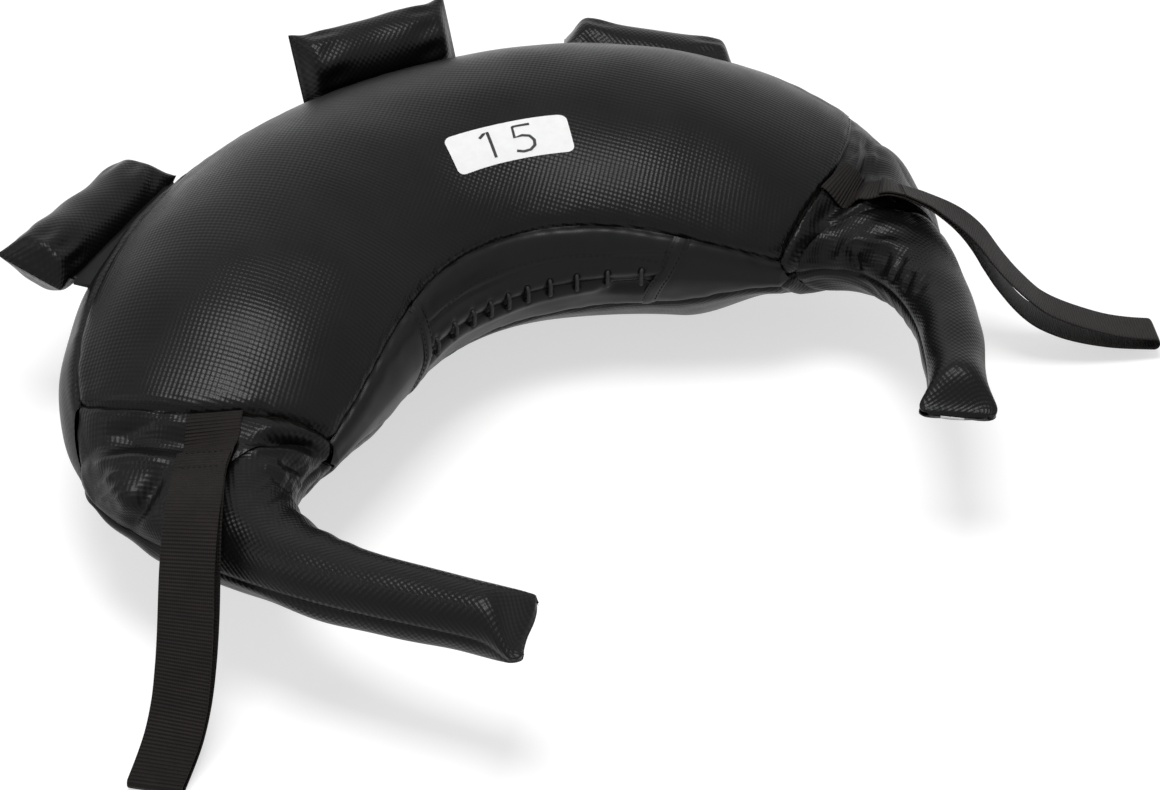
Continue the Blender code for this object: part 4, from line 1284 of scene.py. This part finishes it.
def weight_plate(top):
    """White printed plate with plain figures, laid on the top panel."""
    corners = np.array(PLATE_CORNERS) / (END_ANGLE, 1)
    tree = BVHTree.FromObject(top.obj, bpy.context.evaluated_depsgraph_get())
    size = np.array(PLATE_SIZE)

    def lay(grid, lift):
        """Points of the print on the panel, for a grid of places on the plate."""
        a, b = np.split(grid / size + 0.5, 2, axis=-1)
        places = mix(mix(corners[0], corners[1], a), mix(corners[3], corners[2], a), b)
        points = skin(places[..., 0], places[..., 1])
        hits = [tree.find_nearest(Vector(point))[:2] for point in points.reshape(-1, 3)]
        return np.array([spot + normal * lift for spot, normal in hits]).reshape(points.shape)

    # Round the corners by drawing the outer points in.
    grid = np.stack(np.meshgrid(np.linspace(-0.5, 0.5, 70), np.linspace(-0.5, 0.5, 33)), -1) * size
    inner = size / 2 - PLATE_RADIUS
    over = np.maximum(np.abs(grid) - inner, 0)
    pull = over.max(-1, keepdims=True) / np.maximum(np.linalg.norm(over, axis=-1, keepdims=True), 1e-9)
    grid = np.sign(grid) * (np.minimum(np.abs(grid), inner) + over * pull)
    out = np.array([0.0, -0.3, 1.0])
    obj = grid_object("weight_plate", lay(grid, PLATE_LIFT), grid, out, "print")
    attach(obj, "bag")
    for name, points in FIGURES.items():
        points = np.array(points)
        way = unit(np.gradient(points, axis=0))
        aside = np.stack([-way[:, 1], way[:, 0]], -1) * FIGURE_HALF_STROKE
        index = np.arange(len(points))
        fine = np.linspace(0, index[-1], len(points) * 6)
        line, beside = sample(fine, index, points), sample(fine, index, aside)
        grid = line[:, None] + beside[:, None] * np.linspace(-1, 1, 4)[:, None]
        mark = grid_object(f"figure_{name}", lay(grid, FIGURE_LIFT), grid, out, "ink")
        mark.parent = obj


# ---- stage

def stage():
    """Floor, lamps, world and camera."""
    mesh = bpy.data.meshes.new("floor")
    corners = [(x * FLOOR_HALF, y * FLOOR_HALF, 0) for x, y in ((-1, -1), (1, -1), (1, 1), (-1, 1))]
    mesh.from_pydata(corners, [], [(0, 1, 2, 3)])
    mesh.materials.append(floor_material())
    link("floor", mesh)

    for name, (place, size, power) in LAMPS.items():
        lamp = bpy.data.lights.new(name, "AREA")
        lamp.shape = "RECTANGLE"
        lamp.size, lamp.size_y = size
        lamp.energy = power
        obj = link(name, lamp)
        obj.location = place
        obj.rotation_euler = (Vector(LAMP_AIM) - Vector(place)).to_track_quat("-Z", "Y").to_euler()

    world = bpy.data.worlds.new("studio")
    world.use_nodes = True
    tree = world.node_tree
    sky = tree.nodes["Background"]
    sky.inputs["Color"].default_value = (1, 1, 1, 1)
    tree.links.new(remap(tree, camera_white(tree), 0.0, 1.0, SKY_LIGHT, SKY_SEEN), sky.inputs["Strength"])
    bpy.context.scene.world = world

    data = bpy.data.cameras.new("camera")
    data.lens = CAMERA_LENS
    data.sensor_width = CAMERA_SENSOR
    data.sensor_fit = "HORIZONTAL"
    camera = link("camera", data)
    forward, up = Vector(CAMERA_FORWARD).normalized(), Vector(CAMERA_UP).normalized()
    right = forward.cross(up).normalized()
    turn = Matrix((right, right.cross(forward), -forward)).transposed().to_4x4()
    camera.matrix_world = Matrix.Translation(CAMERA_EYE) @ turn
    bpy.context.scene.camera = camera
    bpy.context.scene.view_settings.view_transform = "Standard"


# ---- everything

stage()
top = face_panel("top_panel", 1, ((0.0010, 0.110, 11), (0.0004, 0.045, 12)), (1, 2, 3, 4), 430, 150)
face_panel("bottom_panel", -1, ((0.0008, 0.10, 21),), (5, 6, 7, 8), 220, 80)
outer_gusset()
upper_flap = flap("upper", 0.0, 0.5)
flap("lower", 0.5, 1.0)
lacing()
filler_bag()
weight_plate(top)
for side in SIGN:
    inner_gusset(side)
    band = binding(side)
    for edge in (0, 1):
        stitches(f"band_stitches_{side}_{edge}", *offset_line(band, edge, BAND_STITCH_INSET, 0.06, 0.94),
                 band.obj, *BAND_STITCH)
    for level in ("upper", "lower"):
        end_panel(level, side)
        handle_cover(level, side)
    handle_core(side)
    strap_root(side)
    strap_loop(side)
tip_lining()
stitches("hem_stitches", *offset_line(upper_flap, 2, HEM, 0.02, 0.98), upper_flap.obj, *SEAM_STITCH)
for edge, side in enumerate(SIGN):
    stitches(f"end_stitches_{side}", *offset_line(top, edge, END_STITCH_INSET, 0.02, 0.98), top.obj,
             *SEAM_STITCH)
for name in GRIP:
    grip_cover(name)
    grip_web(name)
    grip_core(name)
    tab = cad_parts[f"grip_tab_{name}"]
    tab.data.materials.clear()
    tab.data.materials.append(MATERIAL["smooth"])
